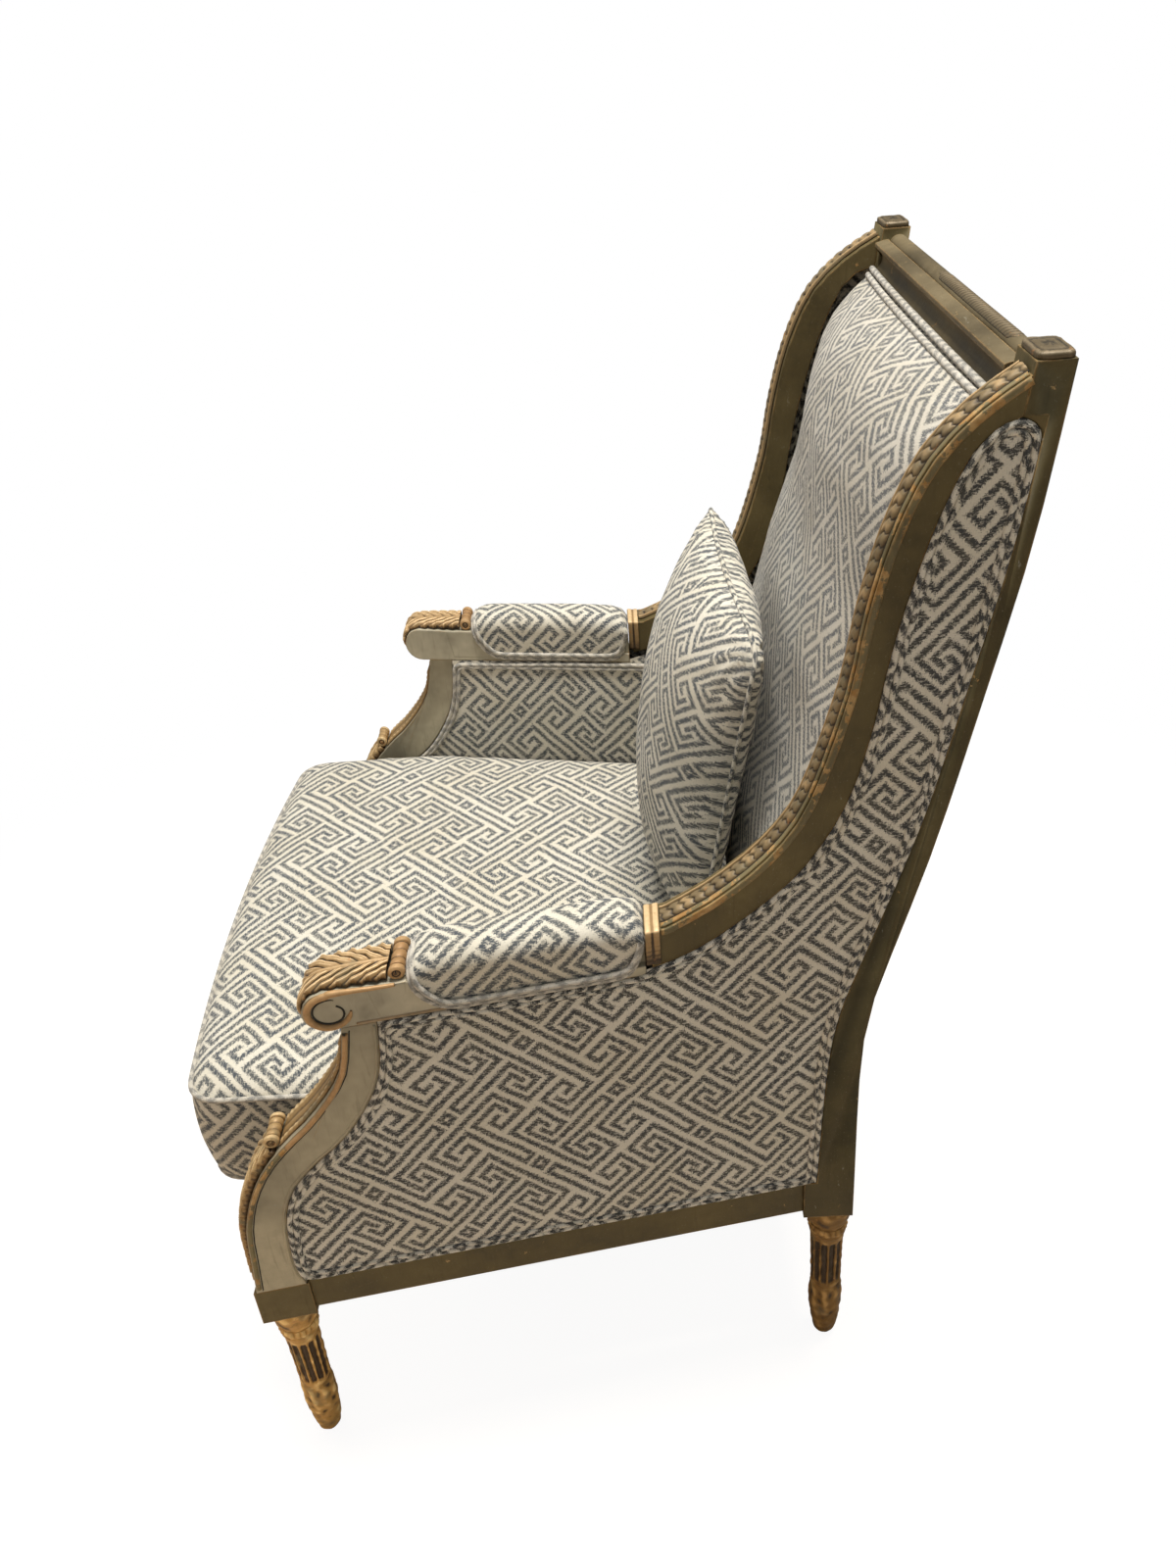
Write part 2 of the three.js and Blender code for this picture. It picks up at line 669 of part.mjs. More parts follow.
function panelOutline(gap) {
  const bottom = panelBottom + gap - fit;
  const front = offsetLine(supportBackLine, -gap)
    .filter((p) => p.y > bottom && p.y < armUnderside - gap);
  const wing = offsetLine([...wingInnerLine].reverse(), -gap)
    .filter((p) => p.x > -armRear && p.y > armUnderside - gap);
  const tip = wing.at(-1);
  const rear = panelRearLine.filter((p) => p.y < tip.y - weltWidth && p.y > bottom)
    .map((p) => point(p.x - gap + fit, p.y));
  return thinned([point(lineAt(supportBackLine, bottom) + gap, bottom), ...front,
    point(lineAt(supportBackLine, armUnderside - gap) + gap, armUnderside - gap),
    point(-armRear, armUnderside - gap), ...wing, ...rear,
    point(lineAt(panelRearLine, bottom) - gap + fit, bottom)], weltWidth / 2);
}

function outerPanel() {
  return onSide(plate(panelOutline(fit), panelRecess, panelRecess + panelThickness));
}

const weltCrownShare = 0.6;

function outerWelt() {
  const loop = thinned(panelOutline(fit + weltWidth / 2), weltWidth);
  const half = weltWidth / 2 - fit;
  const low = panelRecess - weltLift;
  const crown = half * weltCrownShare;
  const section = [[-half, low], [half, low], [crown, low - weltHeight], [-crown, low - weltHeight]];
  return onSide(bandAlong(loop, section, true));
}

const sideDepthShares = [[0, 0.6], [0.2, 0.6], [0.3, 0.95], [0.4, 1], [0.62, 0.9], [0.73, 0.72],
  [0.84, 0.74], [0.88, 0.69], [0.905, 0.57], [0.93, 0.36], [0.963, 0]];
const sideDepthLine = sideDepthShares.map(([up, deep]) => point(deep, blockTop + stileHeight * up));
const padSideY = (z) => stileFrontY(z) - padSideDepth * Math.max(0, lineAt(sideDepthLine, z));

const innerPanelShare = 0.36;

function innerPanel() {
  const top = armUnderside + wingRise * innerPanelShare;
  const bottom = panelBottom;
  const front = offsetLine(supportBackLine, -fit)
    .filter((p) => p.y > bottom && p.y < armUnderside - fit);
  const wing = offsetLine([...wingInnerLine].reverse(), -fit)
    .filter((p) => p.x > -armRear && p.y > armUnderside - fit && p.y < top
      && p.x < padSideY(p.y) - panelRearGap);
  const rear = heights(wing.at(-1).y, bottom, (z) => padSideY(z) - panelRearGap, 16).slice(1);
  const outline = [point(lineAt(supportBackLine, bottom) + fit, bottom), ...front,
    point(lineAt(supportBackLine, armUnderside - fit) + fit, armUnderside - fit),
    point(-armRear, armUnderside - fit), ...wing, ...rear];
  return onSide(plate(outline, innerPanelDepth, innerPanelDepth + innerPanelThickness));
}

// Back pad: flat behind, crowned in front, between the wings

const backPadHalf = rearHalfWidth - wingThickness - backPadSideGap;

function backPadRing(z) {
  const rear = lineAt(stileFrontLine, z) - fit;
  const side = Math.min(padSideY(z), rear - fit);
  const crown = backCrown * lineAt(padCrownLine, z);
  const front = steps(12).map((part) => {
    const across = 1 - 2 * part;
    return new THREE.Vector3(backPadHalf * across, side - crown * (1 - Math.abs(across) ** crownPower), z);
  });
  return [new THREE.Vector3(-backPadHalf, rear, z), new THREE.Vector3(backPadHalf, rear, z), ...front];
}

const padLevelShares = [0, 0.04, 0.93, 0.97, 1];
const padHollowShares = [[0, 0.25], [0.3, 0.25], [0.5, 0.4], [0.62, 0.62], [0.72, 0.8], [0.82, 0.95],
  [0.9, 0.8], [0.93, 0.6], [0.963, 0]];
const padCrownLine = padHollowShares.map(([up, deep]) => point(deep, blockTop + stileHeight * up));
const crownPower = 2.6;

function backPad() {
  const bottom = lowerBackRailTop + fit;
  const between = stileFrontLine.map((p) => p.y).filter((z) => z > bottom && z < backPadTop);
  const levels = [...padLevelShares.map((part) => share(bottom, backPadTop, part)), ...between];
  return loft(levels.sort((low, high) => low - high).map(backPadRing));
}

function outerBackPanel() {
  const half = rearHalfWidth - frameThickness - fit;
  const rear = heights(railTop + fit, crestBottom - fit, (z) => stileRearY(z) - backPanelInset, 14);
  const front = heights(crestBottom - fit, railTop + fit,
    (z) => stileRearY(z) - backPanelInset - backPanelThickness, 14);
  return acrossBar([...rear, ...front], half);
}

// Seat: webbing, deck and dust cover

const seatFront = frontRailFace + railSetback;
const seatRear = rearBlockFront - fit;
const seatSideX = (y) => outerX(y, railTop) - innerPanelDepth - innerPanelThickness - fit;

function seatWebbing() {
  const low = railTop + fit;
  const high = low + webThickness;
  const sheet = slab(new THREE.Shape(mirrored([point(seatSideX(seatRear), seatRear),
    point(seatSideX(seatFront), seatFront)])), low, high);
  const deepGap = (seatRear - seatFront - websDeep * webWidth) / (websDeep - 1);
  const acrossGap = (y) => (2 * seatSideX(y) - websAcross * webWidth) / (websAcross - 1);
  const holes = [];
  for (let row = 1; row < websDeep; row++) {
    const near = seatFront + row * webWidth + (row - 1) * deepGap;
    const far = near + deepGap;
    for (let column = 1; column < websAcross; column++) {
      const left = (y) => column * webWidth + (column - 1) * acrossGap(y) - seatSideX(y);
      const outline = [point(left(near), near), point(left(near) + acrossGap(near), near),
        point(left(far) + acrossGap(far), far), point(left(far), far)];
      holes.push(slab(new THREE.Shape(outline), low - cutOverrun, high + cutOverrun));
    }
  }
  return geometryFrom(holes.reduce((web, hole) => web.subtract(hole), sheet));
}

function seatDeck() {
  const halfPlan = [point(seatSideX(seatRear), seatRear), point(seatSideX(seatFront), seatFront)];
  return geometryFrom(slab(new THREE.Shape(mirrored(halfPlan)), railTop + webThickness + 2 * fit, deckTop));
}

function dustCover() {
  const rear = rearRailFace - railSetback;
  const behindLeg = frontLegY + blockWidth / 2 + fit;
  const halfPlan = [point(blockInnerX(rear), rear), point(blockInnerX(seatRear), seatRear),
    point(railInnerX(seatRear), seatRear), point(railInnerX(behindLeg), behindLeg),
    point(blockInnerX(behindLeg), behindLeg), point(blockInnerX(seatFront), seatFront)];
  return geometryFrom(slab(new THREE.Shape(mirrored(halfPlan)), railBottom - dustCoverThickness - fit,
    railBottom - fit));
}

// Loose seat cushion: boxed, crowned, with a bowed front

function cushionPlan() {
  const reach = cushionFrontHalf - cushionCorner;
  const rearCorner = cushionCorner / 2;
  const half = [
    ...steps(5).map((part) => point(reach * part, -cushionFront - cushionBow * (1 - part ** 2))),
    ...circleArc(point(reach, -cushionFront + cushionCorner), cushionCorner, -Math.PI / 2, 0, 5).slice(1),
    point(cushionFrontHalf, -cushionFlareEnd),
    ...circleArc(point(cushionRearHalf - rearCorner, -cushionRear - rearCorner), rearCorner, 0,
      Math.PI / 2, 3),
  ];
  return [...half, ...half.slice(1).reverse().map((p) => point(-p.x, p.y))];
}

const cushionSeam = deckTop + fit + cushionSide;
const cushionMiddle = -(cushionFront + cushionRear) / 2;
const cushionSideShares = [[0.93, 0], [0.985, 0.04], [1, 0.1], [1.014, 0.45], [1.006, 0.85], [1, 0.96],
  [0.99, 1]];
const cushionCrownShares = [[0.965, 0.34], [0.9, 0.62], [0.78, 0.84], [0.58, 0.95], [0.3, 1]];
const cushionCrownLine = cushionCrownShares.map(([wide, up]) => point(up, wide));

// The height of the cushion's crown on the middle line, behind its middle.
const cushionTopAt = (y) => cushionSeam + cushionCrown
  * lineAt(cushionCrownLine, (y - cushionMiddle) / (-cushionRear - cushionMiddle));

function seatCushion() {
  const plan = cushionPlan();
  const levels = [...cushionSideShares.map(([wide, up]) => [wide, deckTop + fit + cushionSide * up]),
    ...cushionCrownShares.map(([wide, up]) => [wide, cushionSeam + cushionCrown * up])];
  return loft(levels.map(([wide, z]) => plan.map((p) =>
    new THREE.Vector3(p.x * wide, cushionMiddle + (p.y - cushionMiddle) * wide, z))));
}

// Loose lumbar pillow: two faces that meet in a seam, with drawn-in edges and a flatter rear

const pillowRows = 14;
const edgeDrawShare = 0.045;
const frontPuffShare = 0.55;
const rearPuffShare = 0.42;

function lumbarPillow() {
  const half = point(pillowWidth / 2, pillowHeight / 2);
  const placed = (u, v, face) => {
    const swell = (1 - Math.abs(u) ** crownPower) * (1 - Math.abs(v) ** crownPower);
    const puff = face < 0 ? -pillowFront * swell ** frontPuffShare : pillowRear * swell ** rearPuffShare;
    return new THREE.Vector3(half.x * u * (1 - edgeDrawShare * (1 - v * v)), puff,
      half.y * v * (1 - edgeDrawShare * (1 - u * u)));
  };
  const positions = [];
  const index = [];
  for (const face of [-1, 1]) {
    const start = positions.length / 3;
    for (let row = 0; row <= pillowRows; row++) {
      for (let column = 0; column <= pillowRows; column++) {
        const p = placed((2 * column) / pillowRows - 1, (2 * row) / pillowRows - 1, face);
        positions.push(p.x, p.y, p.z);
      }
    }
    for (let row = 0; row < pillowRows; row++) {
      for (let column = 0; column < pillowRows; column++) {
        const a = start + row * (pillowRows + 1) + column;
        const [b, c, d] = [a + 1, a + pillowRows + 2, a + pillowRows + 1];
        index.push(...(face < 0 ? [a, b, c, a, c, d] : [a, c, b, a, d, c]));
      }
    }
  }
  const geometry = new THREE.BufferGeometry();
  geometry.setAttribute("position", new THREE.Float32BufferAttribute(positions, 3));
  geometry.setIndex(index);
  geometry.rotateX(-pillowTilt);
  geometry.computeBoundingBox();
  const seamY = -pillowY - half.y * Math.sin(pillowTilt);
  geometry.translate(0, -pillowY, cushionTopAt(seamY) + fit - geometry.boundingBox.min.z);
  return facingOut(geometry);
}

// Assembly

const chair = new THREE.Group();

function addPiece(parent, name, geometry, material) {
  const mesh = new THREE.Mesh(geometry, material);
  mesh.name = name;
  parent.add(mesh);
}

const pairedPieces = [
  ["front_leg", frontLeg(), paint],
  ["rear_stile", rearStile(), paint],
  ["side_seat_rail", sideRail(), paint],
  ["front_corner_block", cornerBlock(frontLegY, frontRailBack, 1), bareWood],
  ["rear_corner_block", cornerBlock(0, rearRailFront, -1), bareWood],
  ["arm_support", armSupport(), paint],
  ["arm", arm(), paint],
  ["wing_frame", wingFrame(), paint],
  ["stile_cap", stileCap(), gilt],
  ["rope_moulding", ropeMoulding(), gilt],
  ["arm_leaf", armLeaf(), gilt],
  ["support_leaf", supportLeaf(), gilt],
  ["arm_collar", armCollar(), gilt],
  ["arm_pad", armPad(), fabric],
  ["outer_side_panel", outerPanel(), fabric],
  ["outer_panel_welt", outerWelt(), fabric],
  ["inner_side_panel", innerPanel(), fabric],
];

for (const [side, direction] of [["left", 1], ["right", -1]]) {
  const half = new THREE.Group();
  half.scale.x = direction;
  for (const [name, geometry, material] of pairedPieces) {
    addPiece(half, `${name}_${side}`, geometry, material);
  }
  chair.add(half);
}

addPiece(chair, "front_seat_rail", frontRail(), paint);
addPiece(chair, "rear_seat_rail", rearRail(), paint);
addPiece(chair, "lower_back_rail", lowerBackRail(), bareWood);
addPiece(chair, "crest_rail", crestRail(), paint);
addPiece(chair, "crest_ribbon", crestRibbon(), gilt);
addPiece(chair, "seat_webbing", seatWebbing(), jute);
addPiece(chair, "seat_deck", seatDeck(), fabric);
addPiece(chair, "dust_cover", dustCover(), lining);
addPiece(chair, "back_pad", backPad(), fabric);
addPiece(chair, "outer_back_panel", outerBackPanel(), fabric);
addPiece(chair, "seat_cushion", seatCushion(), fabric);
addPiece(chair, "lumbar_pillow", lumbarPillow(), fabric);

const bounds = new THREE.Box3().setFromObject(chair);
chair.position.y = -(bounds.min.y + bounds.max.y) / 2;

export default chair;
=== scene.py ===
import math

import bmesh
import bpy
import numpy as np
from mathutils import Matrix, Vector, noise


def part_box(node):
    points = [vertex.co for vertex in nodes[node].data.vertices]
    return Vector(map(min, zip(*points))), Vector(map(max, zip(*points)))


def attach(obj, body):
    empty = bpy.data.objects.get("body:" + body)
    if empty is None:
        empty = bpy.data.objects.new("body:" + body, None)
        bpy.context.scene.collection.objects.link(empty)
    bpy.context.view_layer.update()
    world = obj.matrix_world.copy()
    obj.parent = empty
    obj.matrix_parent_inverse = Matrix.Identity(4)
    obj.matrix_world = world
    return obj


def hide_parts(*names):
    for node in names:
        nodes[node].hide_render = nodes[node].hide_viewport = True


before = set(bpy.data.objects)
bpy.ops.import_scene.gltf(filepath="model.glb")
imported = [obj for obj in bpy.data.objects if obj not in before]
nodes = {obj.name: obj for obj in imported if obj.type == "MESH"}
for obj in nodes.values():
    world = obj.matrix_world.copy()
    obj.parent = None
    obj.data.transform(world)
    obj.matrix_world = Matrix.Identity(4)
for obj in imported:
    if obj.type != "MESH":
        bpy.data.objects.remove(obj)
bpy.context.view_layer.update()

MM = 0.001
SIDES = ("left", "right")

# The chair's own measures, in millimetres, as in its CAD source
LEG_SPAN, LEG_TOP, BLOCK_TOP, BLOCK = 530, 215, 260, 51
REAR_HALF, POST_DEPTH, POST_TOP_DEPTH, POST = 283, 49, 27, 45
STILE_HEIGHT, STILE_RAKE = 789, 118
SPLAY_ANGLE = math.radians(10)
SPLAY = math.tan(SPLAY_ANGLE)
RAIL_BOTTOM, RAIL_TOP = 222, 265
ARM_LOW, ARM_TOP, ARM_WIDTH, ARM_REAR = 572, 610, 49, 166
WING_TOP, WING_REACH, WING_RISE, WING_THICK = 1040, 261, 421, 36
SCROLL_Y, SCROLL_R = -426.5, 20
PAD_FRONT = -360
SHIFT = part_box("rear_stile_left")[0].y / MM + BLOCK / 2


def line_through(points, count):
    """Evenly spaced points on a smooth curve through the given ones."""
    pts = np.array(points, float)
    last = len(pts) - 1
    fine = []
    for t in np.linspace(0, last, 40 * last + 1):
        i = min(int(t), last)
        w = t - i
        p0, p1 = pts[max(i - 1, 0)], pts[i]
        p2, p3 = pts[min(i + 1, last)], pts[min(i + 2, last)]
        v0, v1 = (p2 - p0) / 2, (p3 - p1) / 2
        fine.append((2 * p1 - 2 * p2 + v0 + v1) * w**3 + (3 * p2 - 3 * p1 - 2 * v0 - v1) * w**2 + v0 * w + p1)
    return even(np.array(fine), count)


def even(line, count, closed=False):
    line = np.asarray(line, float)
    if closed:
        line = np.vstack([line, line[:1]])
    run = np.r_[0, np.cumsum(np.linalg.norm(np.diff(line, axis=0), axis=1))]
    at = np.linspace(0, run[-1], count + closed)
    out = np.stack([np.interp(at, run, line[:, k]) for k in range(line.shape[1])], 1)
    return out[:-1] if closed else out


def length_of(line):
    return float(np.linalg.norm(np.diff(line, axis=0), axis=1).sum())


def running(line):
    return np.r_[0, np.cumsum(np.linalg.norm(np.diff(line, axis=0), axis=1))]


def smooth_line(line, passes=2, closed=False):
    line = np.array(line, float)
    for _ in range(passes):
        before, after = np.roll(line, 1, 0), np.roll(line, -1, 0)
        new = (before + 2 * line + after) / 4
        if not closed:
            new[0], new[-1] = line[0], line[-1]
        line = new
    return line


def offset(line, distance, closed=False):
    """A line of the side elevation moved sideways, to its left for a positive distance."""
    line = np.asarray(line, float)
    if closed:
        along = np.roll(line, -1, 0) - np.roll(line, 1, 0)
    else:
        along = np.gradient(line, axis=0)
    along /= np.linalg.norm(along, axis=1)[:, None] + 1e-9
    return line + np.stack([-along[:, 1], along[:, 0]], 1) * distance


def table(pairs):
    xs, ys = zip(*pairs)
    return lambda v: np.interp(v, xs, ys)


REAR_BLOCK_FRONT = -BLOCK / 2
REAR_BLOCK_BACK = REAR_BLOCK_FRONT + POST_DEPTH
_rear = line_through(
    [(REAR_BLOCK_BACK + STILE_RAKE * a, BLOCK_TOP + STILE_HEIGHT * b) for a, b in
     ((0, 0), (0, 0.19), (0.05, 0.287), (0.18, 0.368), (0.43, 0.513), (0.68, 0.694),
      (0.87, 0.842), (1, 1))], 29)


def rear_y(z):
    return np.interp(z, _rear[:, 1], _rear[:, 0])


def front_y(z):
    rise = np.clip((np.asarray(z, float) - BLOCK_TOP) / STILE_HEIGHT, 0, 1)
    return rear_y(z) - (POST_DEPTH + (POST_TOP_DEPTH - POST_DEPTH) * rise)


_strip = table([(BLOCK_TOP + STILE_HEIGHT * up, 37 * wide) for up, wide in
                ((0, 1), (0.26, 0.76), (0.41, 0.6), (0.57, 0.43), (0.8, 0.37), (1, 0.3))])


def panel_rear_y(z):
    return rear_y(z) - _strip(z)


def side(points):
    """Points (y, z, depth) of the left side, in metres: y from the rear leg, depth from the side's face."""
    p = np.asarray(points, float)
    y, z, depth = p[..., 0], p[..., 1], p[..., 2]
    x = REAR_HALF + SPLAY * np.maximum(0, front_y(z) - y) - depth
    return np.stack([x, y + SHIFT, z], -1) * MM


def flat(points):
    """Points (x, y, z) with y from the rear leg, in metres."""
    p = np.array(points, float)
    p[..., 1] += SHIFT
    return p * MM


def with_depth(line, depth):
    line = np.asarray(line, float)
    return np.column_stack([line, np.full(len(line), depth) if np.isscalar(depth) else depth])


wing_front = line_through(
    [(front_y(WING_TOP) - 0.3 - WING_REACH * a, WING_TOP - WING_RISE * b) for a, b in
     ((0, 0), (0.13, 0.05), (0.25, 0.126), (0.337, 0.243), (0.397, 0.386), (0.443, 0.545), (0.55, 0.756),
      (0.667, 0.864), (0.83, 0.946), (1, 1))], 27)
WING_IN_REACH, WING_IN_RISE = 269.5, 434
WING_IN_TOP = ARM_LOW + 0.3 + WING_IN_RISE + 7
wing_inner = line_through(
    [(front_y(WING_IN_TOP) - 0.3 - WING_IN_REACH * a, WING_IN_TOP - WING_IN_RISE * b) for a, b in
     ((0, 0), (0.1, 0.03), (0.178, 0.12), (0.24, 0.235), (0.295, 0.371), (0.345, 0.548), (0.415, 0.696),
      (0.553, 0.832), (0.761, 0.935), (0.9, 0.982), (1, 1))], 29)
SUPPORT_FOOT_Y = -LEG_SPAN - BLOCK / 2 + 3
SUPPORT_LOW, SUPPORT_RISE, SUPPORT_SWEEP = 260.3, 311.4, 134
support_front = line_through(
    [(SUPPORT_FOOT_Y + SUPPORT_SWEEP * a, SUPPORT_LOW + SUPPORT_RISE * b) for a, b in
     ((0, 0), (0.03, 0.13), (0.06, 0.263), (0.127, 0.372), (0.209, 0.452), (0.32, 0.526), (0.485, 0.603),
      (0.634, 0.663), (0.806, 0.753), (0.925, 0.846), (1, 1))], 21)
support_back = line_through(
    [(SUPPORT_FOOT_Y + 46 + SUPPORT_SWEEP * a, SUPPORT_LOW + SUPPORT_RISE * b) for a, b in
     ((0, 0), (-0.03, 0.05), (-0.04, 0.12), (-0.025, 0.228), (0.015, 0.33), (0.11, 0.423), (0.3, 0.508),
      (0.52, 0.59), (0.73, 0.724), (0.83, 0.843), (0.87, 1))], 19)


# Meshes


def mesh_object(name, verts, faces, loop_uv=None, relief=None, smooth=True):
    mesh = bpy.data.meshes.new(name)
    mesh.from_pydata([tuple(v) for v in verts], [], [tuple(f) for f in faces])
    if loop_uv is not None:
        layer = mesh.uv_layers.new(name="UVMap")
        layer.data.foreach_set("uv", np.asarray(loop_uv, "f").ravel())
    if relief is not None:
        layer = mesh.attributes.new("relief", "FLOAT", "POINT")
        layer.data.foreach_set("value", np.asarray(relief, "f").ravel())
    mesh.polygons.foreach_set("use_smooth", [smooth] * len(mesh.polygons))
    mesh.update()
    obj = bpy.data.objects.new(name, mesh)
    bpy.context.scene.collection.objects.link(obj)
    return obj


class Skin:
    """Grids of points that make one mesh. Touching grids are joined, each with its own cloth coordinates."""

    def __init__(self):
        self.verts, self.faces, self.uv, self.relief = [], [], [], []

    def grid(self, points, uv=None, wrap=False, flip=False, relief=None):
        points = np.asarray(points, float)
        n, m = points.shape[:2]
        start = len(self.verts)
        self.verts.extend(points.reshape(-1, 3))
        self.relief.extend(np.zeros(n * m) if relief is None else np.asarray(relief, float).reshape(-1))
        cols = m if wrap else m - 1
        for i in range(n - 1):
            for j in range(cols):
                k = (j + 1) % m
                quad = [(i, j, j), (i, k, j + 1), (i + 1, k, j + 1), (i + 1, j, j)]
                if flip:
                    quad.reverse()
                self.faces.append([start + a * m + b for a, b, _ in quad])
                if uv is not None:
                    self.uv.extend(uv[a][c] for a, _, c in quad)
        return self

    def fan(self, ring, centre, uv_ring=None, uv_centre=(0, 0), flip=False):
        start = len(self.verts)
        self.verts.extend(np.asarray(ring, float))
        self.verts.append(np.asarray(centre, float))
        self.relief.extend([0.0] * (len(ring) + 1))
        n = len(ring)
        for i in range(n):
            tri = [(start + i, i), (start + (i + 1) % n, (i + 1) % n), (start + n, None)]
            if flip:
                tri.reverse()
            self.faces.append([v for v, _ in tri])
            if uv_ring is not None:
                self.uv.extend(uv_centre if c is None else uv_ring[c] for _, c in tri)
        return self

    def caps(self, rings, centres=None):
        """Closes both ends of a run of rings."""
        for k in (0, -1):
            self.fan(rings[k], rings[k].mean(0) if centres is None else centres[k])
        return self

    def cord(self, path, radius, closed=False, around=10, uv_at=(0, 0), ends=True):
        """A cord along a path in metres. One that doesn't run round has its ends closed."""
        ring, uv = tube_grid(path, radius, closed, around)
        self.grid(ring, uv + np.array(uv_at), wrap=True, relief=np.full(ring.shape[:2], 0.7))
        if ends and not closed:
            self.fan(ring[0], ring[0].mean(0), uv[0], uv[0, 0], flip=True)
            self.fan(ring[-1], ring[-1].mean(0), uv[-1], uv[-1, 0])
        return self

    def build(self, name, smooth=True, weld=2e-5, outward=False):
        """The finished mesh. Outward turns the faces so that its volume is positive."""
        obj = mesh_object(name, self.verts, self.faces, self.uv or None, self.relief, smooth)
        bm = bmesh.new()
        bm.from_mesh(obj.data)
        if weld:
            bmesh.ops.remove_doubles(bm, verts=bm.verts, dist=weld)
        if outward:
            bmesh.ops.recalc_face_normals(bm, faces=bm.faces)
        bm.to_mesh(obj.data)
        bm.free()
        obj.data.update()
        return obj

    def solid(self, name, smooth=True, weld=2e-5):
        return self.build(name, smooth, weld, outward=True)


def tube_grid(path, radius, closed=False, around=10):
    """Rings round a path in metres. radius is a number or one for each point."""
    path = np.asarray(path, float)
    n = len(path)
    if closed:
        along = np.roll(path, -1, 0) - np.roll(path, 1, 0)
    else:
        along = np.gradient(path, axis=0)
    along /= np.linalg.norm(along, axis=1)[:, None] + 1e-12
    start = np.array([0, 0, 1.0]) if abs(along[0, 2]) < 0.9 else np.array([1.0, 0, 0])
    u = np.cross(along[0], start)
    u /= np.linalg.norm(u)
    us = []
    for t in along:
        u = u - t * (u @ t)
        u /= np.linalg.norm(u)
        us.append(u)
    us = np.array(us)
    if closed:
        v0 = np.cross(along[0], us[0])
        end = us[-1] - along[0] * (us[-1] @ along[0])
        drift = math.atan2(end @ v0, end @ us[0])
        for i in range(n):
            a = -drift * i / n
            v = np.cross(along[i], us[i])
            us[i] = us[i] * math.cos(a) + v * math.sin(a)
    vs = np.cross(along, us)
    angle = np.linspace(0, 2 * math.pi, around, endpoint=False)
    r = np.broadcast_to(np.asarray(radius, float), (n,))[:, None, None]
    ring = path[:, None, :] + r * (us[:, None, :] * np.cos(angle)[None, :, None]
                                   + vs[:, None, :] * np.sin(angle)[None, :, None])
    run = running(np.vstack([path, path[:1]])) if closed else running(path)
    turn = np.linspace(0, 2 * math.pi, around + 1) * float(np.mean(radius))
    uv = np.stack(np.meshgrid(run, turn, indexing="ij"), -1)
    if closed:
        ring = np.vstack([ring, ring[:1]])
    return ring, uv


def tube(name, path, radius, closed=False, around=10, uv_at=(0, 0)):
    return Skin().cord(path, radius, closed, around, uv_at).build(name)


def closed_body(name, rings, relief=None, smooth=True, centres=None):
    """A closed body of rings in metres."""
    return Skin().grid(rings, wrap=True, relief=relief).caps(rings, centres).solid(name, smooth)


def mirror_of(obj, name):
    twin = obj.copy()
    twin.data = obj.data.copy()
    twin.name = twin.data.name = name
    co = np.empty(len(twin.data.vertices) * 3, "f")
    twin.data.vertices.foreach_get("co", co)
    co[::3] *= -1
    twin.data.vertices.foreach_set("co", co)
    twin.data.flip_normals()
    twin.data.update()
    bpy.context.scene.collection.objects.link(twin)
    return twin


def dress(obj, material, body="frame", stands_for=()):
    obj.data.materials.clear()
    obj.data.materials.append(material)
    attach(obj, body)
    if stands_for:
        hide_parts(*stands_for)
    return obj


def on_both(obj, material, stands_for=()):
    """A piece of the left side, named with _left, and its mirror image."""
    twin = mirror_of(obj, obj.name.replace("_left", "_right"))
    for made, s in zip((obj, twin), SIDES):
        dress(made, material, "frame", [f"{n}_{s}" for n in stands_for])


def bead(name, line, depth, radius, material, around=10):
    """A thin bead along a line (y, z), on both sides."""
    on_both(tube(f"{name}_left", side(with_depth(line, depth)), radius * MM, around=around), material)


def smoothstep(a, b, x):
    t = np.clip((np.asarray(x, float) - a) / (b - a), 0, 1)
    return t * t * (3 - 2 * t)


def rough(points, scale, seed=0.0):
    """Smooth noise from -1 to 1 at points in metres."""
    p = np.asarray(points, float).reshape(-1, 3) * scale + seed
    return np.array([noise.noise(Vector(q)) for q in p]).reshape(np.asarray(points).shape[:-1])


# Materials


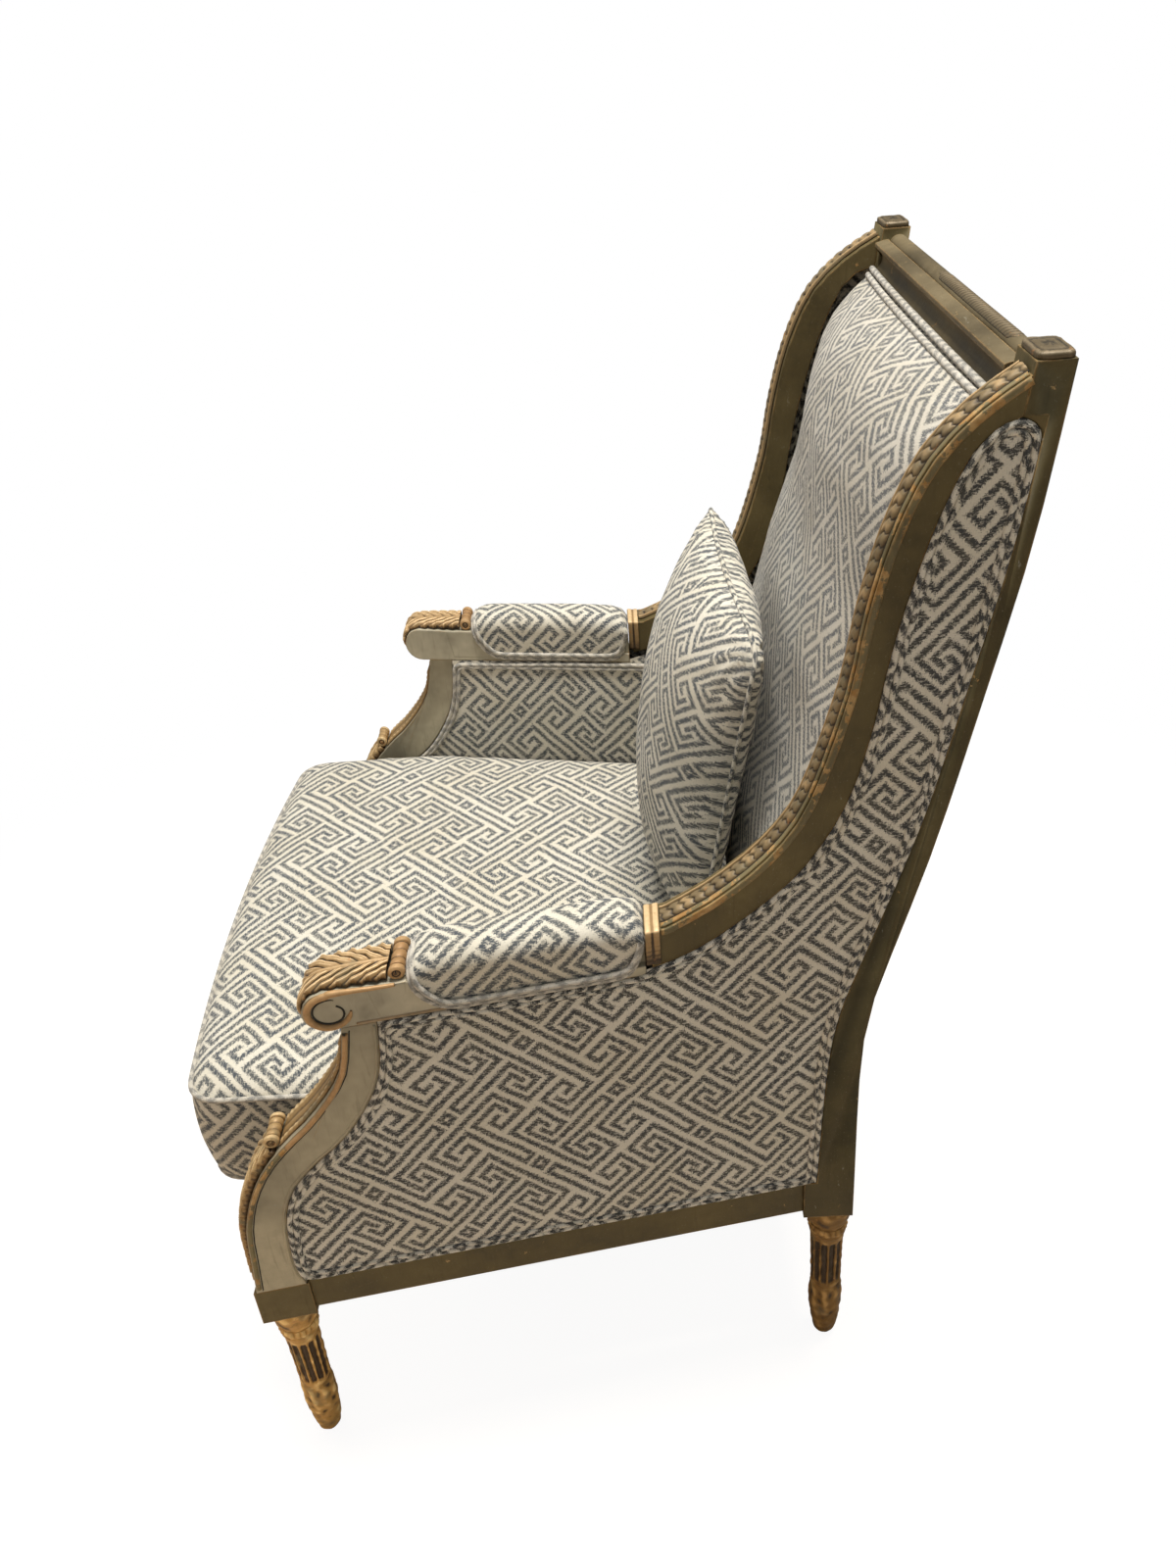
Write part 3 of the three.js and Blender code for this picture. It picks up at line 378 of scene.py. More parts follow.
class Graph:
    """The nodes of a material or a world, written as short calls."""

    def __init__(self, name, world=False):
        self.owner = (bpy.data.worlds if world else bpy.data.materials).new(name)
        self.owner.use_nodes = True
        self.tree = self.owner.node_tree
        self.tree.nodes.clear()
        self.out = self.node("ShaderNodeOutputWorld" if world else "ShaderNodeOutputMaterial")
        self.shader = self.node("ShaderNodeMixShader" if world else "ShaderNodeBsdfPrincipled")
        self.link(self.shader.outputs[0], self.out.inputs[0])

    def node(self, kind, **settings):
        made = self.tree.nodes.new(kind)
        for key, value in settings.items():
            setattr(made, key, value)
        return made

    def link(self, a, b):
        self.tree.links.new(a, b)

    def put(self, socket, value):
        if hasattr(value, "default_value") or hasattr(value, "is_output"):
            self.link(value, socket)
        else:
            socket.default_value = value

    def math(self, operation, a, b=None, clamp=False):
        made = self.node("ShaderNodeMath", operation=operation, use_clamp=clamp)
        for socket, value in zip(made.inputs, (a, b)):
            if value is not None:
                self.put(socket, value)
        return made.outputs[0]

    def vector(self, operation, a, b=None):
        made = self.node("ShaderNodeVectorMath", operation=operation)
        self.put(made.inputs[0], a)
        if b is not None:
            self.put(made.inputs[3] if operation == "SCALE" else made.inputs[1], b)
        return made.outputs[0]

    def noise(self, at, scale, detail=3.0, roughness=0.55, colour=False):
        made = self.node("ShaderNodeTexNoise")
        self.link(at, made.inputs["Vector"])
        made.inputs["Scale"].default_value = scale
        made.inputs["Detail"].default_value = detail
        made.inputs["Roughness"].default_value = roughness
        return made.outputs["Color" if colour else 0]

    def range(self, value, low, high, to_low=0.0, to_high=1.0):
        made = self.node("ShaderNodeMapRange", interpolation_type="SMOOTHSTEP")
        self.put(made.inputs[0], value)
        for k, v in zip((1, 2, 3, 4), (low, high, to_low, to_high)):
            made.inputs[k].default_value = v
        return made.outputs[0]

    def mix(self, share, a, b):
        made = self.node("ShaderNodeMix", data_type="RGBA")
        self.put(made.inputs[0], share)
        for socket, value in ((made.inputs[6], a), (made.inputs[7], b)):
            if isinstance(value, tuple):
                socket.default_value = (*value, 1.0)
            else:
                self.link(value, socket)
        return made.outputs[2]

    def scaled(self, at, by):
        made = self.node("ShaderNodeMapping")
        self.link(at, made.inputs[0])
        made.inputs["Scale"].default_value = by
        return made.outputs[0]

    def bump(self, height, distance, strength=1.0, normal=None):
        made = self.node("ShaderNodeBump")
        made.inputs["Strength"].default_value = strength
        made.inputs["Distance"].default_value = distance
        self.link(height, made.inputs["Height"])
        if normal is not None:
            self.link(normal, made.inputs["Normal"])
        return made.outputs[0]

    def place(self):
        """The object's own coordinates, in metres."""
        return self.node("ShaderNodeTexCoord").outputs["Object"]

    def set(self, **values):
        for key, value in values.items():
            self.put(self.shader.inputs[key.replace("_", " ")], value)
        return self.owner


def times(colour, by):
    return tuple(c * s for c, s in zip(colour, by))


# The fret's strokes in one cell's upper half, in 26ths of the cell: two spiral keys that meet at a
# cross of plain bands, the ends of the channels beside them, and the small squares at the corners
FRET = (
    (6.3, 1.3, 22.7, 1.3), (6.3, 1.3, 6.3, 8.9), (6.3, 8.9, 10.2, 8.9), (10.2, 6.2, 10.2, 8.9),
    (22.7, 0, 22.7, 1.3), (4.0, 0, 4.0, 11.3), (4.0, 11.3, 12.5, 11.3), (12.5, 3.6, 12.5, 11.3),
    (8.4, 3.6, 12.5, 3.6), (8.4, 3.6, 8.4, 6.4),
    (15.1, 3.9, 26, 3.9), (15.1, 3.9, 15.1, 11.8), (15.1, 11.8, 21.9, 11.8), (21.9, 8.9, 21.9, 11.8),
    (19.6, 8.9, 21.9, 8.9), (24.7, 6.3, 24.7, 13), (17.3, 6.3, 24.7, 6.3), (17.3, 6.3, 17.3, 9.4),
    (1.3, 3.3, 1.3, 13), (0, 3.3, 1.3, 3.3), (0, 1.1, 1.1, 1.1), (1.1, 0, 1.1, 1.1), (24.9, 0, 24.9, 1.1),
    (24.9, 1.1, 26, 1.1))
FRET_PERIOD = 0.108
CELL = 26


def fret_distance(g, cloth):
    """Signed distance to the nearest dark stroke, in 26ths of a cell."""
    wobble = g.vector("SUBTRACT", g.noise(cloth, 260, 2, 0.6, colour=True), (0.5, 0.5, 0.5))
    slow = g.vector("SUBTRACT", g.noise(cloth, 22, 1, 0.5, colour=True), (0.5, 0.5, 0.5))
    moved = g.vector("ADD", cloth, g.vector("SCALE", wobble, 0.0021))
    moved = g.vector("ADD", moved, g.vector("SCALE", slow, 0.0050))
    turn = g.node("ShaderNodeVectorRotate", rotation_type="Z_AXIS")
    g.link(moved, turn.inputs["Vector"])
    turn.inputs["Angle"].default_value = math.radians(-45)
    xyz = g.node("ShaderNodeSeparateXYZ")
    g.link(g.vector("SCALE", turn.outputs[0], CELL / FRET_PERIOD), xyz.inputs[0])
    a = g.math("PINGPONG", xyz.outputs[0], CELL)
    b = g.math("PINGPONG", xyz.outputs[1], CELL)
    low = g.math("MULTIPLY", g.math("GREATER_THAN", b, CELL / 2), CELL)
    joined = g.node("ShaderNodeCombineXYZ")
    g.link(g.math("ABSOLUTE", g.math("SUBTRACT", low, a)), joined.inputs[0])
    g.link(g.math("ABSOLUTE", g.math("SUBTRACT", low, b)), joined.inputs[1])
    nearest = None
    for x0, y0, x1, y1 in FRET:
        centre = ((x0 + x1) / 2, (y0 + y1) / 2, 0)
        half = (abs(x1 - x0) / 2, abs(y1 - y0) / 2, 0)
        away = g.vector("ABSOLUTE", g.vector("SUBTRACT", joined.outputs[0], centre))
        gap = g.vector("SUBTRACT", away, half)
        parts = g.node("ShaderNodeSeparateXYZ")
        g.link(gap, parts.inputs[0])
        reach = g.math("MAXIMUM", parts.outputs[0], parts.outputs[1])
        nearest = reach if nearest is None else g.math("MINIMUM", nearest, reach)
    return nearest


def cloth_material(name, cream=(0.69, 0.64, 0.53), slate=(0.066, 0.075, 0.084), strength=1.0):
    g = Graph(name)
    cloth = g.node("ShaderNodeUVMap", uv_map="UVMap").outputs[0]
    distance = fret_distance(g, cloth)
    across = g.scaled(cloth, (330, 1050, 1))
    down = g.scaled(cloth, (1050, 330, 1))
    weft = g.noise(across, 1.0, 2, 0.6)
    warp = g.noise(down, 1.0, 2, 0.6)
    threads = g.math("MULTIPLY", g.math("ADD", weft, warp), 0.5)
    ragged = g.math("ADD", distance, g.math("MULTIPLY", g.math("SUBTRACT", threads, 0.5), 3.0))
    mask = g.range(ragged, 0.42, 0.90, 1.0, 0.0)
    slub = g.noise(g.scaled(cloth, (230, 520, 1)), 1.0, 3, 0.65)
    faded = g.math("MULTIPLY", mask, g.range(slub, 0.34, 0.53, 0.36 * strength, strength))
    blotch = g.noise(cloth, 34, 2, 0.5)
    dark = g.mix(g.range(blotch, 0.35, 0.65), slate, times(slate, (1.45, 1.32, 1.12)))
    broad = g.noise(cloth, 11, 2, 0.5)
    ground = g.mix(g.range(broad, 0.3, 0.7), cream, times(cream, (0.93, 0.91, 0.86)))
    ground = g.mix(g.range(threads, 0.36, 0.62, 0.30, 0.0), ground, times(cream, (0.62, 0.62, 0.62)))
    height = g.math("ADD", threads, g.math("MULTIPLY", mask, -0.25))
    return g.set(Base_Color=g.mix(faded, ground, dark), Roughness=0.92, Normal=g.bump(height, 0.0006, 0.75),
                 Sheen_Weight=0.12, Sheen_Roughness=0.6, Specular_IOR_Level=0.2)


def edge_wear(g, radius, low, high):
    """Where the surface turns sharply, from its rounded normal."""
    rounded = g.node("ShaderNodeBevel", samples=6)
    rounded.inputs["Radius"].default_value = radius
    true = g.node("ShaderNodeNewGeometry").outputs["Normal"]
    dot = g.node("ShaderNodeVectorMath", operation="DOT_PRODUCT")
    g.link(rounded.outputs[0], dot.inputs[0])
    g.link(true, dot.inputs[1])
    return rounded.outputs[0], g.range(dot.outputs["Value"], low, high, 1.0, 0.0)


def paint_material(name, colour, chips=1.0, edges=1.0, chip_at=0.675, worn_at=0.42):
    g = Graph(name)
    at = g.place()
    rounded, edge = edge_wear(g, 0.0022, 0.86, 0.995)
    broad = g.noise(at, 9, 4, 0.6)
    fine = g.noise(at, 90, 4, 0.65)
    grain = g.noise(g.scaled(at, (260, 260, 26)), 1.0, 3, 0.6)
    lighter = tuple(min(1, c * 1.35 + 0.012) for c in colour)
    darker = times(colour, (0.62, 0.62, 0.62))
    base = g.mix(g.range(broad, 0.34, 0.68), darker, lighter)
    base = g.mix(g.range(fine, 0.3, 0.75, 0.0, 0.55), base, colour)
    base = g.mix(g.range(grain, 0.56, 0.72, 0.0, 0.35), base, darker)
    patch = g.noise(at, 26, 5, 0.7)
    worn = g.math("MULTIPLY", edge, g.range(patch, worn_at, worn_at + 0.16, 0.0, edges), clamp=True)
    chip = g.range(g.noise(at, 47, 5, 0.72), chip_at, chip_at + 0.03, 0.0, chips)
    bare = g.mix(g.range(fine, 0.35, 0.65), (0.33, 0.175, 0.052), (0.45, 0.29, 0.12))
    base = g.mix(g.math("MAXIMUM", worn, chip), base, bare)
    scuffs = g.noise(g.scaled(at, (30, 90, 30)), 1.0, 5, 0.75)
    base = g.mix(g.range(scuffs, 0.66, 0.72, 0.0, 0.5), base, (0.36, 0.34, 0.27))
    speck = g.noise(at, 520, 3, 0.7)
    base = g.mix(g.range(speck, 0.62, 0.72, 0.0, 0.35), base, (0.30, 0.27, 0.20))
    hollow = g.math("ADD", g.math("MULTIPLY", worn, -0.8), grain)
    height = g.math("ADD", g.math("MULTIPLY", fine, 0.5), hollow)
    rough_at = g.range(broad, 0.3, 0.7, 0.50, 0.70)
    return g.set(Base_Color=base, Roughness=rough_at, Normal=g.bump(height, 0.0004, 0.45, rounded),
                 Specular_IOR_Level=0.3)


def gilt_material(name, mid, high, green, low=(0.028, 0.017, 0.008)):
    """Worn gilding with green patches, whose colour follows the relief: painted shade, with patina, in the
    hollows and a painted highlight on the tops.
    """
    g = Graph(name)
    at = g.place()
    relief = g.node("ShaderNodeAttribute", attribute_name="relief").outputs["Fac"]
    fine = g.noise(at, 230, 4, 0.65)
    broad = g.noise(at, 38, 4, 0.6)
    level = g.math("ADD", relief, g.math("MULTIPLY", g.math("SUBTRACT", fine, 0.5), 0.35))
    # Painted shade in the hollows of the relief and a painted highlight on its tops
    colour = g.mix(g.range(level, 0.05, 0.45), low, mid)
    colour = g.mix(g.range(level, 0.5, 1.0), colour, high)
    colour = g.mix(g.range(broad, 0.52, 0.70, 0.0, green), colour, (0.19, 0.165, 0.095))
    colour = g.mix(g.range(g.noise(at, 75, 4, 0.7), 0.62, 0.70, 0.0, 0.7), colour, (0.42, 0.20, 0.07))
    height = g.math("ADD", g.math("MULTIPLY", fine, 0.6), broad)
    return g.set(Base_Color=colour, Metallic=0.25, Roughness=g.range(broad, 0.3, 0.7, 0.46, 0.68),
                 Normal=g.bump(height, 0.0005, 0.6), Specular_IOR_Level=0.5)


def plain_material(name, light, dark, scale, stretch=(1, 1, 1), roughness=0.8):
    g = Graph(name)
    at = g.scaled(g.place(), stretch)
    grain = g.noise(at, scale, 5, 0.65)
    broad = g.noise(g.place(), 14, 3, 0.5)
    colour = g.mix(g.range(grain, 0.3, 0.7), dark, light)
    colour = g.mix(g.range(broad, 0.35, 0.7, 0.0, 0.35), colour, dark)
    return g.set(Base_Color=colour, Roughness=roughness, Normal=g.bump(grain, 0.0005, 0.5))


CLOTH = cloth_material("fret_cloth")
# A copy of the fret cloth with darker strokes for the outer sides: painted shade in the strokes
SHADED_SIDE_CLOTH = cloth_material("shaded_side_cloth", (0.69, 0.645, 0.545), (0.048, 0.051, 0.053), 1.08)
# A darker copy of the fret cloth for the back: painted shade
SHADED_BACK_CLOTH = cloth_material("back_cloth", (0.575, 0.53, 0.445), (0.066, 0.073, 0.080), 0.94)
# A darker copy of the fret cloth for the cords, with fainter strokes: painted shade in its cream
CORD = cloth_material("cord_cloth", (0.56, 0.515, 0.435), strength=0.62)
PALE, ARM_PALE = (0.35, 0.305, 0.205), (0.405, 0.362, 0.258)
PAINT = paint_material("olive_paint", (0.104, 0.076, 0.0245))
PAINT_PALE = paint_material("grey_green_paint", PALE, 0.5, 1.0, 0.70)
PAINT_ARM = paint_material("pale_arm_paint", ARM_PALE, 0.5, 1.0, 0.70)
PAINT_FACE = paint_material("pale_arm_face", ARM_PALE, 0.5, 0.0, 0.70)
PAINT_WORN = paint_material("chipped_paint", (0.108, 0.080, 0.028), 1.0, 1.0, 0.66, 0.28)
PAINT_CREST = paint_material("brown_paint", (0.112, 0.083, 0.038), 1.0, 1.0, 0.64, 0.34)
PAINT_STILE = paint_material("dark_paint", (0.076, 0.056, 0.0165))
PAINT_EDGE = paint_material("rubbed_paint", (0.165, 0.132, 0.060), 1.0, 1.0, 0.50)
GILT = gilt_material("worn_gilt", (0.34, 0.21, 0.088), (0.80, 0.57, 0.31), 0.45, (0.045, 0.026, 0.011))
# A brighter copy of the gilding for the support's front, which stands in full light: painted light
LIT_GILT = gilt_material("bright_gilt", (0.38, 0.24, 0.098), (0.78, 0.57, 0.30), 0.7, (0.10, 0.056, 0.022))
GILT_LINE = gilt_material("gilt_line", (0.36, 0.20, 0.078), (0.58, 0.37, 0.17), 0.3)
# The front legs take a brightened, lit copy of the legs' gilding and the rear legs a darker, shaded copy:
# painted light and painted shade
LIT_LEG_GILT = gilt_material("leg_gilt", (0.56, 0.31, 0.082), (1.0, 0.70, 0.28), 0.5, (0.06, 0.03, 0.008))
SHADED_LEG_GILT = gilt_material("shaded_rear_leg_gilt", (0.21, 0.108, 0.02), (0.50, 0.29, 0.09), 0.45, (0.04, 0.021, 0.006))
ROPE_GILT = gilt_material("rope_gilt", (0.20, 0.140, 0.066), (0.47, 0.31, 0.145), 0.5)
GILT_DULL = gilt_material("dull_gilt", (0.27, 0.17, 0.085), (0.50, 0.38, 0.24), 0.7)
WORN = gilt_material("worn_paint", (0.105, 0.076, 0.036), (0.22, 0.165, 0.095), 0.15, (0.034, 0.025, 0.012))
# Dark lines of painted shade, laid along the grooves and cuts of the carving
GROOVE_SHADE = plain_material("painted_groove_shade", (0.03, 0.024, 0.014), (0.012, 0.01, 0.006), 200)
WOOD = plain_material("bare_wood", (0.33, 0.2, 0.1), (0.17, 0.095, 0.045), 60, (1, 8, 8))
JUTE = plain_material("jute_web", (0.40, 0.30, 0.17), (0.2, 0.14, 0.07), 400, roughness=0.95)
LINING = plain_material("dust_cloth", (0.035, 0.033, 0.03), (0.015, 0.014, 0.013), 900, roughness=0.95)


# Painted and bare wood: the CAD pieces whose shapes are right keep them


def finish(node, material):
    for slot in nodes[node].material_slots:
        slot.link = "OBJECT"
        slot.material = material


for name, material in (("side_seat_rail", PAINT), ("arm_support", PAINT_PALE), ("arm", PAINT_ARM),
                       ("wing_frame", PAINT), ("front_corner_block", WOOD), ("rear_corner_block", WOOD)):
    for s in SIDES:
        finish(f"{name}_{s}", material)
for name in ("front_seat_rail", "rear_seat_rail", "crest_rail"):
    finish(name, PAINT)
finish("lower_back_rail", WOOD)


def frame_part(node, name, low_z):
    """A copy of a frame member above a height, to which a turned leg is added."""
    obj = bpy.data.objects.new(name, nodes[node].data.copy())
    bpy.context.scene.collection.objects.link(obj)
    bm = bmesh.new()
    bm.from_mesh(obj.data)
    bmesh.ops.remove_doubles(bm, verts=bm.verts, dist=1e-6)
    cut = bmesh.ops.bisect_plane(bm, geom=bm.verts[:] + bm.edges[:] + bm.faces[:], plane_co=(0, 0, low_z),
                                 plane_no=(0, 0, -1), clear_outer=True)
    edges = [e for e in cut["geom_cut"] if isinstance(e, bmesh.types.BMEdge)]
    bmesh.ops.holes_fill(bm, edges=edges, sides=0)
    bmesh.ops.dissolve_limit(bm, angle_limit=math.radians(0.4), verts=bm.verts, edges=bm.edges)
    sharp = [e for e in bm.edges if len(e.link_faces) == 2 and e.calc_face_angle() > math.radians(40)]
    bmesh.ops.bevel(bm, geom=sharp, offset=0.0011, offset_type="OFFSET", segments=2, profile=0.6,
                    affect="EDGES", clamp_overlap=True)
    bm.to_mesh(obj.data)
    bm.free()
    obj.data.polygons.foreach_set("use_smooth", [True] * len(obj.data.polygons))
    obj.data.set_sharp_from_angle(angle=math.radians(60))
    weigh = obj.modifiers.new("weigh", "WEIGHTED_NORMAL")
    weigh.keep_sharp = True
    weigh.weight = 100
    made = bpy.data.meshes.new_from_object(obj.evaluated_get(bpy.context.evaluated_depsgraph_get()))
    obj.modifiers.clear()
    obj.data = made
    return obj


# Turned and fluted legs

LEG_OUTLINE = ((0, 0), (4.5, 0), (8.6, 0.004), (9.9, 0.012), (12.4, 0.03), (14.9, 0.1), (15.9, 0.155),
               (16.4, 0.18), (17.3, 0.22), (17.5, 0.27), (17.1, 0.34), (16.9, 0.385), (15.6, 0.395),
               (15.6, 0.405), (16.6, 0.42), (17.1, 0.6), (17.8, 0.755), (18.2, 0.772), (19.4, 0.786),
               (18.3, 0.798), (19.0, 0.806), (20.4, 0.822), (19.2, 0.838), (18.4, 0.846), (19.8, 0.862),
               (22.2, 0.885), (23.4, 0.915), (23.6, 0.955), (22.4, 0.975), (23.3, 0.985), (23.3, 1.0))
FLUTES = 12


def side_x(y, z):
    """Half of the chair's width at a place, less the bulge of its cloth."""
    return REAR_HALF + SPLAY * max(0.0, float(front_y(z)) - y)


FLUTE_DEPTH = 2.7


def fluted_leg(name, x, y):
    radii, shares = zip(*LEG_OUTLINE)
    up = np.unique(np.r_[np.linspace(0, 1, 110), shares])[:, None]
    angle = np.linspace(0, 2 * math.pi, FLUTES * 10, endpoint=False)
    wave = np.abs(np.sin(angle * FLUTES / 2 + 0.2))
    ends = np.clip(np.minimum((up - 0.42) / 0.035, (0.75 - up) / 0.035), 0, 1)
    narrow = smoothstep(0.62 - 0.32 * ends, 0.66, np.broadcast_to(wave, (len(up), len(wave))))
    run = smoothstep(0.425, 0.455, up) * (1 - smoothstep(0.715, 0.748, up))
    depth = run * np.where(ends < 1, narrow, smoothstep(0.30, 0.62, wave)) * FLUTE_DEPTH
    beads = ((up > 0.80) & (up < 0.845)) * 0.9 * np.abs(np.sin(angle * 10)) ** 0.7
    leaves = ((up > 0.20) & (up < 0.385)) * 0.7 * np.cos(angle * 8 + up * 4)
    r = np.interp(up, shares, radii) - depth + beads - 0.35 + leaves
    height = np.broadcast_to(up * LEG_TOP, r.shape)
    worn = rough(np.stack([r * np.cos(angle), r * np.sin(angle), height], -1) * MM, 120, 3.0)
    r = r + worn * 0.9 - 0.2
    points = flat(np.stack([x + r * np.cos(angle), y + r * np.sin(angle), height], -1))
    # Painted light in the relief: painted shade in the flutes and a painted highlight on the beads, the
    # leaves and the worn bumps
    relief = 0.55 - depth * 0.28 + beads * 0.3 + leaves * 0.35 + worn * 0.55
    leg = Skin().grid(points, wrap=True, relief=relief).fan(points[-1], flat([x, y, LEG_TOP])).build(name)
    leg.data.set_sharp_from_angle(angle=math.radians(50))
    return leg


for node, x, y, paint, gilt in (
        ("front_leg", side_x(-LEG_SPAN, LEG_TOP) - BLOCK / 2, -LEG_SPAN - 5, PAINT_WORN, LIT_LEG_GILT),
        ("rear_stile", REAR_HALF - BLOCK / 2, 3, PAINT_STILE, SHADED_LEG_GILT)):
    on_both(frame_part(f"{node}_left", f"dressed_{node}_left", LEG_TOP * MM), paint, [node])
    on_both(fluted_leg(f"turned_{node}_left", x, y), gilt)


# Upholstered panels of the sides


def outline_gap(points, loop):
    """Distance of flat points from a closed outline."""
    points = np.asarray(points, float)
    a, b = np.asarray(loop, float), np.roll(loop, -1, 0)
    best = np.full(points.shape[:-1], 1e9)
    for p, q in zip(a, b):
        d = q - p
        t = np.clip(((points - p) @ d) / (d @ d + 1e-9), 0, 1)
        best = np.minimum(best, np.linalg.norm(points - p - t[..., None] * d, axis=-1))
    return best


def support_back_y(z):
    return np.interp(z, support_back[:, 1], support_back[:, 0])


_inner = wing_inner[::-1]


def wing_inner_y(z):
    return np.interp(z, _inner[:, 1], _inner[:, 0])


PANEL_LOW = RAIL_TOP + 0.6
PANEL_TIP = 1013.4
ARCH = 998.0


def arch_span(z, inset):
    """Front and rear of the outer panel's opening at a height, rounded at its tip."""
    z = np.asarray(z, float)
    front, rear = wing_inner_y(z) + inset, panel_rear_y(z) - inset
    low_front, low_rear = wing_inner_y(ARCH) + inset, panel_rear_y(ARCH) - inset
    middle, half = (low_front + low_rear) / 2, (low_rear - low_front) / 2
    up = np.clip((z - ARCH) / (PANEL_TIP - inset - ARCH), 0, 0.995)
    reach = half * np.sqrt(1 - up ** 2)
    return (np.where(z < ARCH, front, np.minimum(np.maximum(middle - reach, front), middle + reach - 0.5)),
            np.where(z < ARCH, rear, middle + reach))


def arch_line(inset):
    zs = ARCH + (PANEL_TIP - inset - ARCH) * np.sin(np.linspace(0.03, 1, 14) * math.pi / 2)
    front, rear = arch_span(zs, inset)
    return [*zip(front, zs), *zip(rear[::-1], zs[::-1])]


def panel_loop(inset):
    """The outer panel's outline, moved in from the frame around it."""
    arm = ARM_LOW - inset
    front = offset(support_back, -inset)
    front = front[(front[:, 1] > PANEL_LOW + inset + 3) & (front[:, 1] < arm - 3)]
    wing = offset(even(_inner, 300), -inset)
    wing = wing[(wing[:, 0] > -ARM_REAR + 4) & (wing[:, 1] > arm + 2)]
    rear_z = np.linspace(ARCH - 1, PANEL_LOW + inset, 40)
    tip = [p for p in wing if p[1] < ARCH] + arch_line(inset)
    low = PANEL_LOW + inset
    foot, elbow = [(float(support_back_y(z)) + inset, z) for z in (low, arm)]
    rear = zip(panel_rear_y(rear_z) - inset, rear_z)
    return np.array([foot, *front, elbow, (-ARM_REAR, arm), *tip, *rear])


def puffed(rows, loop, crown):
    """How far cloth stands out: a low crown over its stuffing, with a little sag."""
    gap = outline_gap(rows, loop)
    sag = rough(np.dstack([rows, np.zeros(rows.shape[:-1])]), 0.014, 3.1)
    return crown * (1 - np.exp(-gap / 16.0)) + sag * 0.35 * np.minimum(1, gap / 20)


def cloth_patch(skin, rows, loop, depth, crown, at, inner=False):
    """A patch of cloth over rows of points (y, z) of a side, on its outer or its inner face."""
    lift = puffed(rows, loop, crown) * (1 if inner else -1)
    skin.grid(side(np.dstack([rows, depth + lift])), side_uv(rows, at), flip=inner)


def panel_rows(zs, front_of, rear_of, across):
    front, rear = front_of(zs), rear_of(zs)
    ys = front[:, None] + (rear - front)[:, None] * np.linspace(0, 1, across)
    return np.dstack([ys, np.broadcast_to(zs[:, None], ys.shape)])


def side_uv(rows, at):
    """Cloth coordinates on a side, measured from the rear towards the front and downwards."""
    y, z = rows[..., 0], rows[..., 1]
    along = (PANEL_START - y) / math.cos(SPLAY_ANGLE)
    return np.stack([along + at[0], CLOTH_LEVEL - z + at[1]], -1) * MM


PANEL_START, CLOTH_LEVEL = 214.2 - SHIFT, 640.0
CLEAR = 0.6
CORD_R, CORD_STEP = 2.7, 0.013
ARM_UNDER = ARM_LOW - CLEAR


def support_clear(z):
    return support_back_y(z) + CLEAR


def outer_cloth():
    loop = panel_loop(CLEAR)
    at = (-253.3, -120.1)
    skin = Skin()
    low_levels = np.linspace(PANEL_LOW, ARM_UNDER, 56)
    rows = panel_rows(low_levels, support_clear, lambda z: panel_rear_y(z) - CLEAR, 70)
    cloth_patch(skin, rows, loop, 1.0, 3.2, at)
    round_levels = ARCH + (PANEL_TIP - CLEAR - ARCH) * np.sin(np.linspace(0.08, 1, 12) * math.pi / 2)
    wing_foot = wing_inner[-1, 1] + 1
    rows = panel_rows(np.r_[np.linspace(ARM_UNDER, ARCH, 68), round_levels],
                      lambda z: np.where(z < wing_foot, -ARM_REAR, arch_span(z, CLEAR)[0]),
                      lambda z: arch_span(z, CLEAR)[1], 40)
    cloth_patch(skin, rows, loop, 1.0, 3.2, at)
    return skin.build("outer_cloth_left")


on_both(outer_cloth(), SHADED_SIDE_CLOTH, ["outer_side_panel"])


def tip_plate():
    """Painted wood round the rounded tip of the outer panel."""
    up = np.linspace(ARCH - 22, ARCH - 1, 6)
    down = up[::-1]
    inner = np.array([*zip(wing_inner_y(up), up), *arch_line(0.0), *zip(panel_rear_y(down), down)], float)
    centre = np.array([103.5, 985.0])
    away = inner - centre
    far = centre + away * (1 + 16 / np.linalg.norm(away, axis=1))[:, None]
    far[:, 0] = np.minimum(far[:, 0], rear_y(far[:, 1]) - 6)
    ring = [with_depth(line, depth) for line, depth in
            ((inner, 5.0), (inner, 0.9), (centre + away * 1.03, 0.2), (far, 0.2), (far, 5.0))]
    return closed_body("panel_tip_left", side(np.stack(ring, 1)))


on_both(tip_plate(), PAINT)


def welt_pair(name, loops, depth, closed=True):
    """Two cords side by side in one mesh."""
    skin = Skin()
    for k, line in enumerate(loops):
        line = smooth_line(even(line, int(length_of(line) / 5), closed), 2, closed)
        skin.cord(side(with_depth(line, depth)), CORD_R * MM, closed, uv_at=(0, CORD_STEP * k))
    return skin.build(name)


on_both(welt_pair("outer_welts_left", [panel_loop(3.0), panel_loop(8.2)], -0.4), SHADED_SIDE_CLOTH,
        ["outer_panel_welt"])

# Inner side panels, from the seat up to the arm and into the wing

INNER, BACK_GAP = 50.3, 4
INNER_LOW, INNER_TOP, WING_START = 266, 655.0, 582
side_depth = table([(BLOCK_TOP + STILE_HEIGHT * up, deep) for up, deep in
                    ((0, 0.6), (0.2, 0.6), (0.3, 0.95), (0.4, 1), (0.62, 0.9), (0.73, 0.72), (0.84, 0.74),
                     (0.88, 0.69), (0.905, 0.57), (0.93, 0.36), (0.963, 0))])


def pad_side_y(z):
    return front_y(z) - 60 * np.maximum(0, side_depth(z))


def inner_rear(z):
    return pad_side_y(z) - BACK_GAP


def wing_clear(z):
    return np.maximum(-ARM_REAR, wing_inner_y(z) + CLEAR)


